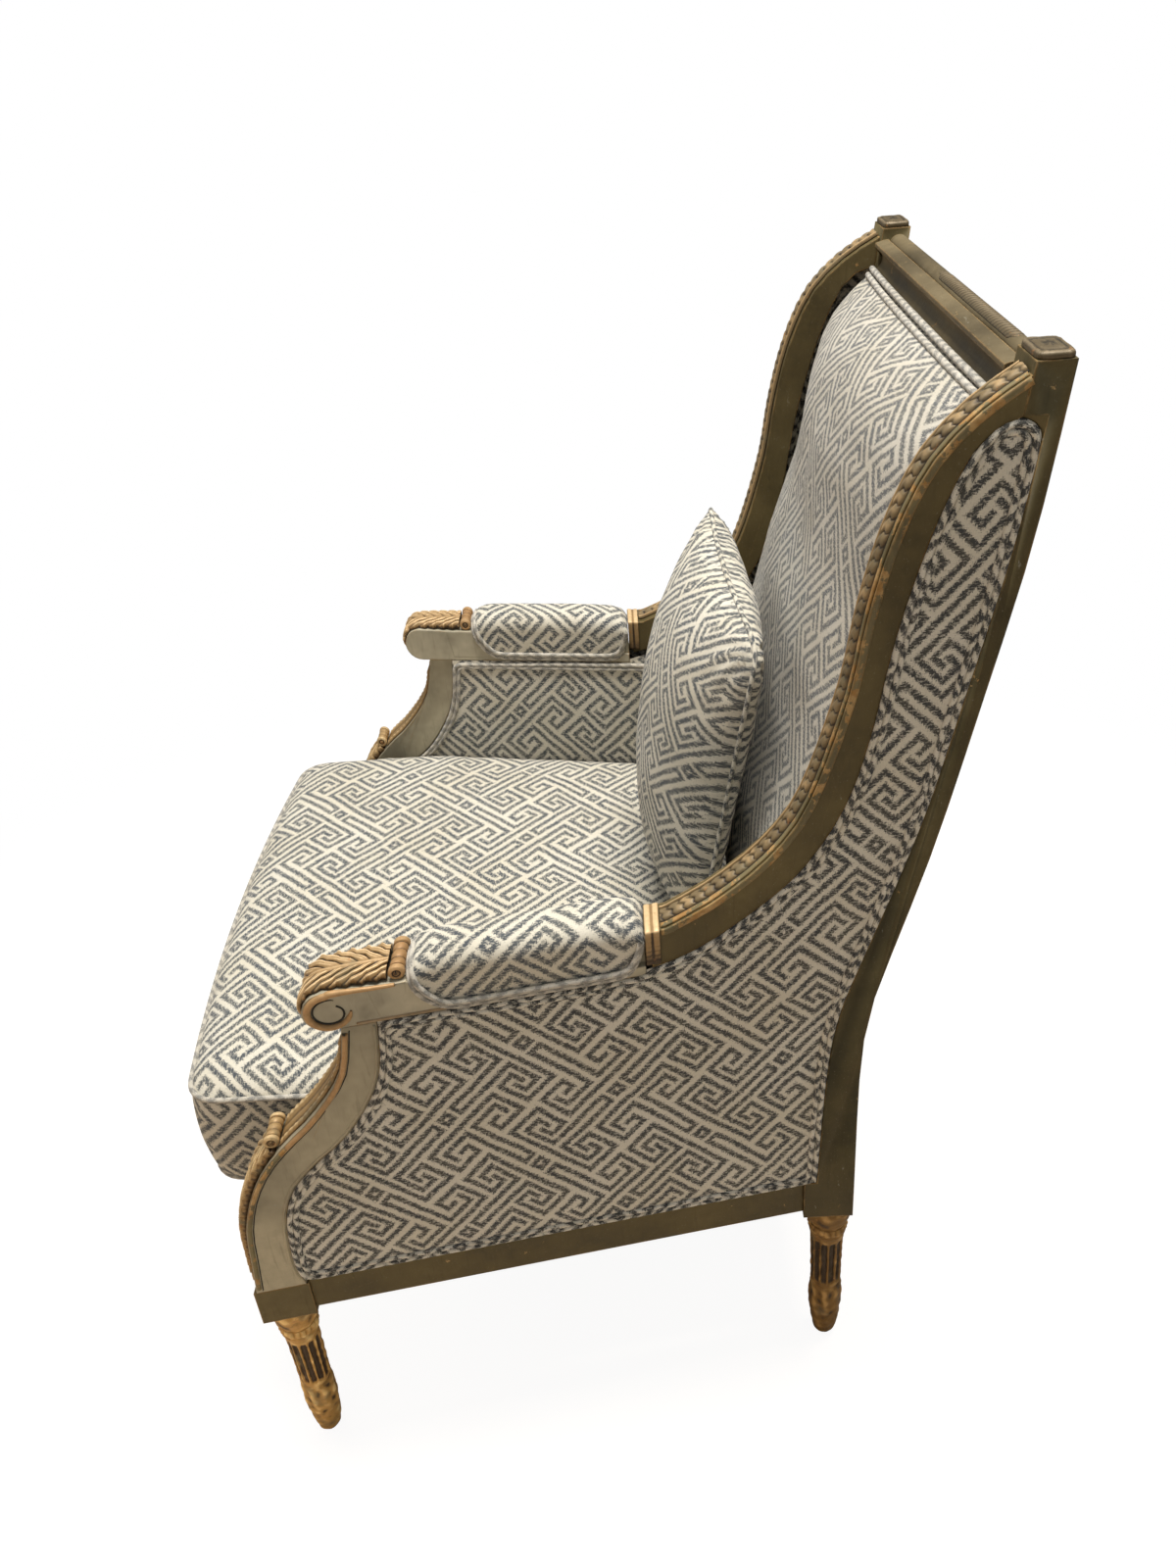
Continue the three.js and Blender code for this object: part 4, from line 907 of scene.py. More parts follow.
def inner_cloth():
    lines = ((support_clear, np.r_[INNER_LOW, np.linspace(270, 568, 30)]),
             (wing_clear, np.linspace(WING_START, INNER_TOP, 12)),
             (inner_rear, np.linspace(INNER_TOP, INNER_LOW, 20)))
    support, wing, rear = [[*zip(place(z), z)] for place, z in lines]
    loop = np.array([*support, (float(support_back_y(571)), ARM_UNDER), (-ARM_REAR, ARM_UNDER), *wing, *rear])
    at = (-212, -60)
    skin = Skin()
    for zs, front_of, across in (
            (np.linspace(INNER_LOW, ARM_UNDER, 44), support_clear, 60),
            (np.linspace(ARM_UNDER, INNER_TOP, 16),
             lambda z: np.where(z < WING_START, -ARM_REAR, wing_clear(z)), 26)):
        rows = panel_rows(zs, front_of, inner_rear, across)
        cloth_patch(skin, rows, loop, INNER - 1.5, 4.0, at, inner=True)
    return skin.build("inner_cloth_left")


on_both(inner_cloth(), CLOTH, ["inner_side_panel"])
front_z = np.linspace(300, 566, 40)
front_run = [*zip(support_back_y(front_z) + 3.2, front_z)]
welt_a = front_run + [(-240, ARM_LOW - 3.4), (-ARM_REAR + 10, ARM_LOW - 3.4), (-60, ARM_LOW - 2)]
welt_b = [(y + 5.2, min(z, 563.4)) for y, z in front_run]
welt_b += [(-240, ARM_LOW - 8.6), (-ARM_REAR + 10, ARM_LOW - 8.6), (-60, ARM_LOW - 7)]
on_both(welt_pair("inner_welts_left", [welt_a, welt_b], INNER + 0.6, closed=False), CORD)

# Back pad: crowned in front, tucked in at the wings

PAD_HALF = REAR_HALF - WING_THICK - 1.5
PAD_LOW, PAD_TOP = 379.3, 1008.0
_pad_crown = table([(BLOCK_TOP + STILE_HEIGHT * up, 32 * deep) for up, deep in
                    ((0, 0.25), (0.3, 0.25), (0.5, 0.4), (0.62, 0.62), (0.72, 0.8), (0.82, 0.95), (0.9, 0.8),
                     (0.93, 0.6), (0.963, 0))])


def pad_fade(z):
    """How much of the pad's thickness is left near its rounded top."""
    return np.clip(1 - np.clip((np.asarray(z, float) - 978) / 31, 0, 1) ** 2.6, 0, 1) ** 0.5


def pad_front_y(x, z):
    rear = front_y(z) - 0.3
    edge = np.minimum(pad_side_y(z), rear - 0.3)
    crown = _pad_crown(z) * (1 - np.abs(x / PAD_HALF) ** 2.6)
    return rear - (rear - edge + crown) * pad_fade(z)


ROUND_FROM = 970
round_levels = ROUND_FROM + (PAD_TOP - ROUND_FROM) * np.sin(np.linspace(0, 1, 18) * math.pi / 2)
PAD_LEVELS = np.unique(np.r_[np.linspace(PAD_LOW, ROUND_FROM, 70), round_levels])
PAD_ACROSS = np.sin(np.linspace(-1, 1, 53) * math.pi / 2)
PAD_MIDDLE = 9 + len(PAD_ACROSS) // 2


def pad_row(z):
    """One level of the pad's skin, from side to side: each side, its rounded corner and the crowned front."""
    rear = float(front_y(z)) - 0.4
    deep = max(0.0, rear - float(min(pad_side_y(z), rear - 0.3))) * float(pad_fade(z))
    turn = min(13.0, deep * 0.45 + 0.4)
    half = [(-PAD_HALF, rear - deep * t) for t in np.linspace(0, 1, 6)[:-1] * (1 - turn / max(deep, 1e-3))]
    half += [(-PAD_HALF + turn * (1 - math.cos(a)), rear - deep + turn * (1 - math.sin(a)))
             for a in np.linspace(0, 1, 5)[:-1] * math.pi / 2]
    xs = PAD_ACROSS * (PAD_HALF - turn)
    return np.array([*half, *zip(xs, pad_front_y(xs, z)), *[(-x, y) for x, y in reversed(half)]])


def back_pad():
    lines = np.array([pad_row(z) for z in PAD_LEVELS])
    down = running(np.column_stack([lines[:, PAD_MIDDLE, 1], PAD_LEVELS]))
    run = np.array([running(line) for line in lines])
    run -= run[:, PAD_MIDDLE:PAD_MIDDLE + 1]
    rows = np.dstack([lines, np.broadcast_to(PAD_LEVELS[:, None], run.shape)])
    dent = rough(rows * MM, 13, 2.0) * 1.6 + rough(rows * MM, 38, 5.0) * 0.5
    fade = smoothstep(0, 40, PAD_HALF - np.abs(rows[..., 0])) * smoothstep(0, 30, PAD_TOP - rows[..., 2])
    rows[..., 1] += dent * fade
    uv = np.stack(np.broadcast_arrays(run + 8, (down - down[-1])[:, None] + 30), -1) * MM
    rear_top = rows[-1].copy()
    rear_top[:, 1] = front_y(PAD_TOP) - 0.4
    cap_uv = np.column_stack([run[-1], run[-1] * 0]) * MM
    skin = Skin().grid(flat(rows), uv).grid(flat([rows[-1], rear_top]), [cap_uv, cap_uv])
    return skin.solid("back_pad_cloth")


dress(back_pad(), SHADED_BACK_CLOTH, stands_for=["back_pad"])
x_run = np.linspace(-PAD_HALF + 7, PAD_HALF - 7, 60)
for k, (drop, out) in enumerate(((-4.0, 0.6), (1.8, 1.6))):
    y_run = np.minimum(pad_front_y(x_run, PAD_TOP - max(drop, 0)) - out, rear_y(1040) - 35.6)
    line = flat(np.column_stack([x_run, y_run, np.full(len(x_run), PAD_TOP - drop)]))
    dress(tube(f"back_pad_welt_{k + 1}", line, 3.1 * MM, uv_at=(0, CORD_STEP * k)), CORD)

# Arm pads

ARM_CORE = ARM_LOW + 33.3
PAD_SKIRT = ARM_LOW + 3.0
PAD_LONG = -ARM_REAR - 0.3 - PAD_FRONT - 1.5
pad_crown = table(((0, 0.34), (0.01, 0.55), (0.035, 0.80), (0.09, 0.96), (0.16, 1), (0.78, 1), (0.9, 0.93),
                   (0.965, 0.78), (0.99, 0.55), (1, 0.34)))
pad_wide = table(((0, 0.2), (0.012, 0.5), (0.04, 0.8), (0.09, 1), (0.9, 1), (0.965, 0.8), (0.99, 0.5),
                  (1, 0.25)))
pad_foot = table([(at, PAD_SKIRT + (ARM_CORE - PAD_SKIRT) * up) for at, up in
                  ((0, 1.0), (0.012, 0.80), (0.04, 0.52), (0.075, 0.27), (0.12, 0.10), (0.17, 0), (0.9, 0),
                   (0.94, 0.08), (0.97, 0.35), (0.99, 0.75), (1, 1.0))])


def arm_pad():
    parts = np.unique(np.r_[np.linspace(0, 1, 64), np.linspace(0, 0.12, 18), np.linspace(0.9, 1, 14)])
    rings, uvs = [], []
    for part in parts:
        y = PAD_FRONT + 1.5 + part * PAD_LONG
        rise, wide, bottom = 1 + 26 * float(pad_crown(part)), float(pad_wide(part)), float(pad_foot(part))
        skirt = [(bottom + (ARM_CORE - bottom) * t, -0.2 - 1.5 * wide * math.sin(math.pi * t * 0.5))
                 for t in np.linspace(0, 1, 6)[:-1]]
        ring = list(skirt)
        for turn in np.linspace(0, math.pi, 33):
            c, s = math.cos(turn), math.sin(turn)
            reach = (ARM_WIDTH / 2 + 5 * wide * s + 1.5 * wide * (1 - s)) * math.copysign(abs(c) ** 0.7, c)
            ring.append((ARM_CORE + rise * s ** 0.8, ARM_WIDTH / 2 - reach))
        ring += [(z, ARM_WIDTH - d) for z, d in reversed(skirt)]
        run = running(ring)
        rings.append([(y, z, d) for z, d in ring])
        uvs.append([(-y, r - run[-1] / 2) for r in run])
    rings, uvs = np.array(rings, float), (np.array(uvs) + (14, 20)) * MM
    rings[..., 1] += rough(rings * MM, 30, 7.0) * 0.8 * smoothstep(590, 612, rings[..., 1])
    rings = side(rings)
    skin = Skin().grid(rings, uvs)
    for k in (0, -1):
        skin.fan(rings[k], rings[k].mean(0), uvs[k], (0, 0))
    return skin.solid("arm_pad_cloth_left")


on_both(arm_pad(), CLOTH, ["arm_pad"])


def arm_welt(rise, out):
    """The line of one cord round the foot of the arm pad, as (y, z, depth)."""
    run = []
    for part in np.r_[np.linspace(1, 0.9, 10), np.linspace(0.88, 0.2, 34), np.linspace(0.18, 0.0, 18)]:
        y = PAD_FRONT + 2.5 + part * (PAD_LONG - 3.5) + rise * 0.6 * (part < 0.1)
        run.append((y, float(pad_foot(part)) + rise, -out - 1.3 * float(pad_wide(part))))
    y0, z0 = run[-1][:2]
    across = [(y0 - 2.0 * math.sin(math.pi * t), z0 + 4.0 + 7.0 * math.sin(math.pi * t) ** 0.6,
               -out + (ARM_WIDTH + 2 * out) * t) for t in np.linspace(0.04, 0.96, 18)]
    back = [(y, z, ARM_WIDTH + out) for y, z, _ in reversed(run)]
    return smooth_line(even(run + across + back, 130), 3)


shoulder = np.array([(-392.0, 609.7), (-376, 609.7), (-357.2, 609.5), (-352, 603), (-340, 598), (-322, 597),
                     (-312, 577), (-352, 576.0), (-386, 576.0)])
ring = side(np.array([with_depth(shoulder, depth) for depth in (-0.05, 0.9, 24, 48, 49.05)]))
on_both(closed_body("arm_shoulder_left", ring, smooth=False), PAINT_FACE)
skin = Skin()
for k, (rise, out) in enumerate(((1.2, 0.6), (6.2, 1.9))):
    skin.cord(side(arm_welt(rise, out)), CORD_R * MM, uv_at=(0.01, CORD_STEP * k), ends=False)
on_both(skin.build("arm_welts_left"), CORD)


# Seat cushion: boxed, with cords at its seams

CUSHION_FRONT, CUSHION_REAR, CUSHION_LOW = 602, 84, 322.3
CUSHION_MID = np.array([0, -(CUSHION_FRONT + CUSHION_REAR) / 2])
CUSHION_SPAN, CUSHION_SIDE = 280, 113


def cushion_plan(count):
    reach, bow, corner, rear_corner = 268, 15, 30, 15
    half = [(reach * t, -CUSHION_FRONT - bow * (1 - t * t)) for t in np.linspace(0, 1, 12)]
    half += [(reach + corner * math.cos(a), -CUSHION_FRONT + corner + corner * math.sin(a))
             for a in np.linspace(-math.pi / 2, 0, 10)[1:]]
    half += [(298, -430)]
    half += [(219 + rear_corner * math.cos(a), -CUSHION_REAR - rear_corner + rear_corner * math.sin(a))
             for a in np.linspace(0, math.pi / 2, 7)]
    loop = half + [(-x, y) for x, y in reversed(half[1:])]
    return smooth_line(even(np.array(loop, float), count, True), 2, True)


def level_ring(plan, centre, wide, z):
    """A level outline, made wider or narrower about its centre."""
    return np.column_stack([centre + (plan - centre) * wide, np.full(len(plan), z)])


def seat_cushion():
    plan = cushion_plan(220)
    away = (plan - CUSHION_MID) / CUSHION_SPAN
    perimeter = running(np.vstack([plan, plan[:1]]))
    s = perimeter[:-1]
    gathers = np.sin(s / 23 + 2.2 * np.sin(s / 71)) * np.sin(s / 9.5 + 1.3)
    side_profile = line_through([(0.955, 0), (0.982, 3), (0.998, 11), (1.010, 40), (1.013, 60), (1.008, 90),
                                 (1.0, 108), (0.994, CUSHION_SIDE)], 26)
    top_profile = line_through([(0.994, CUSHION_SIDE), (0.984, 117), (0.965, 121.5), (0.93, 126.5),
                                (0.88, 130), (0.78, 133.4), (0.58, 135.8), (0.3, 137), (0.1, 137)], 44)

    def gathered(wide, up, amount):
        pull = (gathers * amount * 0.9)[:, None]
        return level_ring(plan, CUSHION_MID, wide, CUSHION_LOW + up) + np.column_stack([away * pull, pull])

    sides = []
    for wide, up in side_profile:
        swell = math.sin(math.pi * np.clip(up / CUSHION_SIDE, 0, 1))
        ring = gathered(wide, up, 0.5 * swell)
        ring[:, :2] += away * rough(ring * MM, 16, 1.0)[:, None] * 1.8 * swell
        sides.append(ring)
    uv = np.stack(np.broadcast_arrays(perimeter[None, :], -side_profile[:, 1][:, None]), -1) * MM
    skin = Skin().grid(flat(sides), uv + (0.02, 0.04), wrap=True)
    tops = []
    for wide, up in top_profile:
        gap = abs(1 - wide) * CUSHION_SPAN
        ring = gathered(wide, up, 1.1 * math.exp(-gap / 22) * smoothstep(0, 4, gap))
        broad, small = rough(ring * MM, 9, 4.0), rough(ring * MM, 30, 8.0)
        ring[:, 2] += broad * 3.2 * smoothstep(4, 60, gap) + small * 0.7 * smoothstep(4, 40, gap)
        tops.append(ring)
    tops = np.array(tops)
    outwards = top_profile[::-1] * (CUSHION_SPAN, 1)
    arcs = ((outwards[0, 0] + running(outwards)) / outwards[:, 0])[::-1]
    spread = (tops[..., :2] - CUSHION_MID) * arcs[:, None, None] + CUSHION_MID
    to_cloth = lambda at: np.stack([at[..., 0] - 12, -(at[..., 1] + SHIFT + 132)], -1) * MM
    top_uv = to_cloth(np.concatenate([spread, spread[:, :1]], 1))
    skin.grid(flat(tops), top_uv, wrap=True)
    crown = flat([*CUSHION_MID, tops[-1][:, 2].mean()])
    skin.fan(flat(tops[-1]), crown, top_uv[-1], to_cloth(CUSHION_MID))
    skin.fan(flat(sides[0]), flat([*CUSHION_MID, CUSHION_LOW]), uv[0], flip=True)
    return skin.solid("seat_cushion_cloth")


dress(seat_cushion(), CLOTH, "seat_cushion", ["seat_cushion"])
for name, wide, up in (("top", 0.9985, 112.6), ("bottom", 0.990, 6.0)):
    line = flat(level_ring(cushion_plan(300), CUSHION_MID, wide, CUSHION_LOW + up))
    cord = tube(f"cushion_cord_{name}", line, CORD_R * MM, True, uv_at=(0.03, 0))
    dress(cord, CORD, "seat_cushion")

# Lumbar pillow


def pillow():
    half_x, half_z, tilt = 143.0, 178.0, math.radians(-8)
    steps = np.linspace(-1, 1, 73)
    t = np.sin(steps * math.pi / 2) * 0.35 + steps * 0.65
    u, v = np.meshgrid(t, t, indexing="ij")
    a, b = np.abs(u), np.abs(v)
    swell = (1 - a ** 2.6) * (1 - b ** 2.6)
    full = (1 - a ** 4.5) * (1 - b ** 4.5)
    edge = np.minimum(1 - a, 1 - b)
    from_corner = np.hypot((1 - a) * half_x, (1 - b) * half_z)
    along = np.where(a > b, v * half_z, u * half_x)
    gather = np.sin(along / 5.2 + 1.5 * np.sin(along / 19)) * np.exp(-edge / 0.10) * smoothstep(0, 0.02, edge)
    turn = np.arctan2(1.02 - b, 1.02 - a)
    fold = np.sin(turn * 17 + 1.2 * np.sin(from_corner / 13) + np.sign(u) * 2 + v)
    fold *= np.exp(-(from_corner / 46) ** 1.6) * smoothstep(0, 0.045, edge)
    lean, up = np.clip((u + 1) / 2, 0, 1) ** 2, np.clip((v + 1) / 2, 0, 1)
    blunt = (a * b) ** 7 * (0.085 * (u > 0) * (v > 0) - 0.012 * (u < 0) * (v > 0))
    x = half_x * u * (1 - 0.045 * (1 - v * v)) * (1 - blunt)
    z = half_z * v * (1 - 0.045 * (1 - u * u)) * (1 - blunt) - 18 * lean * up ** 1.5
    front_puff = -66 * swell ** 0.55
    rear_puff = 38 * (1 + 0.22 * v) * (0.45 * swell ** 0.42 + 0.55 * full ** 0.40)
    rear_puff *= 1 - 0.40 * smoothstep(0.0, 0.95, u)
    faces = []
    for face, puff in ((-1, front_puff), (1, rear_puff)):
        soft = rough(np.dstack([u * 0.14, v * 0.18, np.full_like(u, face * 0.3)]), 14, 2.0)
        creases = gather * 0.9 + fold * 2.9 + soft * 2.4 * smoothstep(0, 0.2, edge)
        y = np.where(edge <= 1e-6, 0, puff + face * creases) + 22 * lean * (0.22 + 0.78 * up)
        c, s = math.cos(tilt), math.sin(tilt)
        faces.append(np.stack([x, y * c - z * s, y * s + z * c], -1))
    front = faces[0]
    seam = np.concatenate([front[:-1, 0], front[-1, :-1], front[:0:-1, -1], front[0, :0:-1]])
    low = min(face[..., 2].min() for face in faces)
    move = np.array([0, -96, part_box("lumbar_pillow")[0].z / MM - low])
    bulge = np.sqrt(1 + 0.10 * swell)
    draw = 26 * np.exp(-from_corner / 42)
    cloth = np.stack([u * half_x * 1.13 * bulge + np.sign(u) * draw,
                      -v * half_z * 1.10 * bulge - np.sign(v) * draw], -1)
    skin = Skin()
    skin.grid(flat(faces[0] + move), (cloth + (10, 25)) * MM, flip=True)
    skin.grid(flat(faces[1] + move), (cloth + (60, 40)) * MM)
    return skin.solid("pillow_cloth"), flat(seam + move)


pillow_body, seam = pillow()
dress(pillow_body, CLOTH, "lumbar_pillow", ["lumbar_pillow"])
seam = smooth_line(even(seam, 260, True), 2, True)
dress(tube("pillow_cord", seam, 2.3 * MM, True, uv_at=(0.02, 0.02)), CLOTH, "lumbar_pillow")

# Deck under the cushion, and the outside of the back

SEAT_REAR, SEAT_FRONT = REAR_BLOCK_FRONT - 0.3, SUPPORT_FOOT_Y + 3


def deck():
    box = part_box("seat_deck")
    low, high = box[0].z / MM, box[1].z / MM
    rear, front = side_x(SEAT_REAR, RAIL_TOP) - INNER, side_x(SEAT_FRONT, RAIL_TOP) - INNER
    corners = [(-rear, SEAT_REAR), (-front, SEAT_FRONT), (front, SEAT_FRONT), (rear, SEAT_REAR)]
    plan = smooth_line(even(corners, 200, True), 3, True)
    centre = plan.mean(0)
    levels = [(0.995, 0), (1.0, 4), (1.0, 30), (0.999, 42), (0.992, 49), (0.975, high - low - 0.2),
              (0.9, high - low)]
    rings = np.array([level_ring(plan, centre, wide, low + up) for wide, up in levels])
    run = running(np.vstack([plan, plan[:1]]))
    uv = np.stack(np.broadcast_arrays(run[None, :], -np.array([up for _, up in levels])[:, None]), -1) * MM
    skin = Skin().grid(flat(rings), uv, wrap=True)
    skin.fan(flat(rings[-1]), flat([*centre, high]), plan * MM, centre * MM)
    skin.fan(flat(rings[0]), flat([*centre, low]), plan * MM, centre * MM, flip=True)
    return skin.solid("deck_cloth")


dress(deck(), CLOTH, stands_for=["seat_deck"])

BACK_HALF = REAR_HALF - POST - 0.6
BACK_LOW, BACK_TOP = 265.6, 983.4


def outer_back():
    zs = np.linspace(BACK_LOW, BACK_TOP, 80)
    gx, gz = np.meshgrid(np.linspace(-BACK_HALF, BACK_HALF, 50), zs)
    gap = np.minimum(BACK_HALF - np.abs(gx), np.minimum(gz - BACK_LOW, BACK_TOP - gz))
    gy = rear_y(gz) - 3 + 4.5 * (1 - np.exp(-gap / 18)) - 3.5
    rise = running(np.column_stack([rear_y(zs), zs]))
    uv = np.stack(np.broadcast_arrays(-gx, -rise[:, None]), -1) * MM
    return Skin().grid(flat(np.dstack([gx, gy, gz])), uv, flip=True).build("outer_back_cloth")


def outer_back_welts():
    skin = Skin()
    up = np.linspace(300, 960, 30)
    for k, inset in enumerate((2.8, 8.0)):
        x, low, top = BACK_HALF - inset, BACK_LOW + inset, BACK_TOP - inset
        loop = [(-x, low), (x, low), *[(x, z) for z in up], (x, top), (-x, top), *[(-x, z) for z in up[::-1]]]
        loop = smooth_line(even(loop, 480, True), 2, True)
        path = np.column_stack([loop[:, 0], rear_y(loop[:, 1]) - 3.4, loop[:, 1]])
        skin.cord(flat(path), CORD_R * MM, True, uv_at=(0, CORD_STEP * k))
    return skin.build("outer_back_welts")


dress(outer_back(), CLOTH, stands_for=["outer_back_panel"])
dress(outer_back_welts(), CLOTH)

# Carved and gilt pieces: each is a strip of heights laid on a line of the side elevation

FRONTWARD, REARWARD, UPWARD = (-1, 0), (1, 0), (0, 1)


def carved(name, line, normals, depths, height_of, base=0.0, depth_scale=None):
    """A closed body on a line (y, z): heights along the normals over a run of depths across the side."""
    s, c = np.meshgrid(running(line), depths, indexing="ij")
    h, relief = height_of(s, c)
    middle = (depths[0] + depths[-1]) / 2
    wide = c if depth_scale is None else middle + (c - middle) * depth_scale(s)
    top, foot = [np.dstack([line[:, None] + normals[:, None] * height[..., None], wide])
                 for height in (h, np.full_like(h, base))]
    ring = np.concatenate([foot[:, :1], top, foot[:, -1:]], 1)
    return closed_body(name, side(ring), np.pad(relief, ((0, 0), (1, 1))))


def normals_of(line, towards):
    """Unit normals of a line (y, z). The one at its middle faces the given way."""
    along = np.gradient(line, axis=0)
    along /= np.linalg.norm(along, axis=1)[:, None] + 1e-9
    out = np.stack([-along[:, 1], along[:, 0]], 1)
    return out if out[len(out) // 2] @ towards > 0 else -out


# Rope moulding on the wing's front edge: two strands twisted between two fillets

rope_line = even(offset(np.vstack([[-166, 619], wing_front[::-1]]), 0.3), 900)
rope_line = rope_line[rope_line[:, 0] > -152.4]
rope_line = even(smooth_line(rope_line, 30), int(length_of(rope_line) / 0.62))
rope_out = normals_of(rope_line, FRONTWARD)
ROPE_MID, ROPE_R, PITCH = 16.7, 7.7, 10.4


def rope_height(s, depth):
    c = depth - ROPE_MID
    in_rope, in_fillet = np.abs(c) < ROPE_R, c > 8.3
    w = np.clip(c / ROPE_R, -1, 1)
    wander = rough(np.dstack([s * MM, s * 0, s * 0]), 22, 3.0) * 0.10
    twist = s / PITCH + 0.36 * w + 0.13 * np.sin(2 * math.pi * w) + wander
    lobe = np.abs(np.sin(math.pi * twist)) ** 0.28
    dome = np.clip(1 - (c / (ROPE_R + 0.2)) ** 2, 0, 1) ** 0.38
    fillet = 1.0 + 3.2 * np.sqrt(np.clip(1 - ((c - 9.9) / 1.5) ** 2, 0, 1))
    h = np.where(in_rope, 0.6 + 4.9 * dome * (0.30 + 0.70 * lobe), np.where(in_fillet, fillet, 0.7))
    # The second value is painted light: a painted highlight on the crown of each lobe and painted shade
    # between the lobes; the fillet is lighter where it stands higher
    dull = 0.5 + 0.5 * smoothstep(-0.25, 0.3, rough(np.dstack([s * MM, depth * 0, s * 0]), 60, 9.0))
    plain = np.where(in_fillet, 0.35 + 0.6 * (fillet - 1) / 3.2, 0.0)
    return h, np.where(in_rope, 0.86 * dome ** 0.35 * lobe ** 2.2 * dull, plain)


def border_height(s, c):
    return 0.5 + 1.1 * smoothstep(2.8, 3.6, c) * (1 - smoothstep(7.7, 8.4, c)), np.zeros_like(s)


across = np.unique(np.r_[np.linspace(8.6, 9.0, 2), np.linspace(9.0, 24.4, 31), np.linspace(24.4, 28.1, 11)])
on_both(carved("rope_left", rope_line, rope_out, across, rope_height), ROPE_GILT, ["rope_moulding"])
edge_line, edge_out = rope_line[::6], rope_out[::6]
border = carved("rope_border_left", edge_line, edge_out, np.linspace(2.8, 8.4, 11), border_height)
on_both(border, PAINT_EDGE)
for k, depth in enumerate((8.7, 24.8)):
    bead(f"rope_shadow_{k + 1}", (rope_line + rope_out * 0.9)[::4], depth, 0.75, GROOVE_SHADE, around=6)
strip = [with_depth(edge_line - edge_out * back, depth) for back, depth in
         ((-0.2, 0.4), (0.0, -0.3), (0.5, -0.55), (3.4, -0.6), (5.6, -0.5), (6.4, 0.05), (6.5, 0.5))]
on_both(closed_body("wing_edge_left", side(np.stack(strip, 1))), PAINT_EDGE)

# Acanthus leaf over the arm's scroll, and the roll at its root

LEAF_SWEEP = 2.3


def lobe_of(part):
    """How far open a lobe is along its pitch, from 0 to 1."""
    return np.clip(np.minimum(part / 0.62, (1 - part) / 0.26), 0, 1)


def leaf_height(length, half, pitch, rise):
    """Heights of an acanthus leaf: a stem, and long veined lobes that sweep from it to the tip."""
    def height(s, depth):
        c = (depth - ARM_WIDTH / 2) / half
        a = np.abs(c)
        wander = rough(np.dstack([s * MM, depth * MM, s * 0]), 50, 5.0) * 0.26
        phase = s / pitch + LEAF_SWEEP * a ** 1.2 + wander + np.where(c > 0, 0.45, 0.0)
        part = phase - np.floor(phase)
        near = np.minimum(part, 1 - part)
        lobe = lobe_of(part) ** 0.75
        finger = 0.5 + 0.5 * np.cos(2 * math.pi * part * (2.0 + 1.1 * a) + 1.0)
        stem = np.exp(-(a / 0.085) ** 2)
        fan = smoothstep(0.06, 0.22, a)
        gap = np.exp(-(near / 0.085) ** 2) * fan
        eyes = np.exp(-(near * pitch / 1.8) ** 2 - ((a - 0.45) * half / 2.2) ** 2)
        edge = smoothstep(0.80, 1.0, a)
        h = rise(s / length) * (0.80 + 0.20 * np.sqrt(np.clip(1 - a * a, 0, 1)))
        h = h + fan * lobe * (2.2 - 0.75 * (1 - finger)) + 1.1 * stem - 1.0 * gap - 1.7 * eyes
        h = h - edge * (2.4 - 2.1 * lobe)
        # relief is painted light: a painted highlight on the stem and lobes, painted shade in the gaps, the
        # eyes and the lower edge
        relief = 0.20 + fan * lobe ** 0.8 * (0.38 + 0.42 * finger) + 0.5 * stem
        relief = relief - 0.5 * gap - 0.7 * eyes - 0.15 * edge * (1 - lobe)
        return np.maximum(h, 0.35), np.clip(relief, 0, 1)
    return height


ARC_Z = ARM_LOW + SCROLL_R
LEAF_R, LEAF_PITCH = SCROLL_R + 0.3, 12.0
leaf_line = [(SCROLL_Y + LEAF_R * math.cos(a), ARC_Z + LEAF_R * math.sin(a))
             for a in np.radians(np.linspace(203, 90, 60))]
leaf_line += [(y, ARC_Z + LEAF_R) for y in np.linspace(SCROLL_Y + 1, -375.4, 40)]
leaf_line = even(leaf_line, int(length_of(leaf_line) / 0.55))
leaf_long = length_of(leaf_line)
leaf_rise = table(((0, 0.6), (0.08, 2.0), (0.3, 4.6), (0.6, 6.0), (0.9, 6.6), (1, 6.2)))
leaf_half = table(((0, 0.72), (0.06, 0.9), (0.2, 1), (1, 1)))


def leaf_wide(s):
    """The leaf's width along its length, with a scalloped edge."""
    return (0.89 + 0.12 * lobe_of((s / LEAF_PITCH + LEAF_SWEEP + 0.45) % 1) ** 0.8) * leaf_half(s / leaf_long)


leaf = carved("leaf_left", leaf_line, normals_of(leaf_line, UPWARD), np.linspace(3.6, ARM_WIDTH - 3.6, 72),
              leaf_height(leaf_long, 21.0, LEAF_PITCH, leaf_rise), depth_scale=leaf_wide)
on_both(leaf, GILT, ["arm_leaf"])

ROLL_R = 6.9


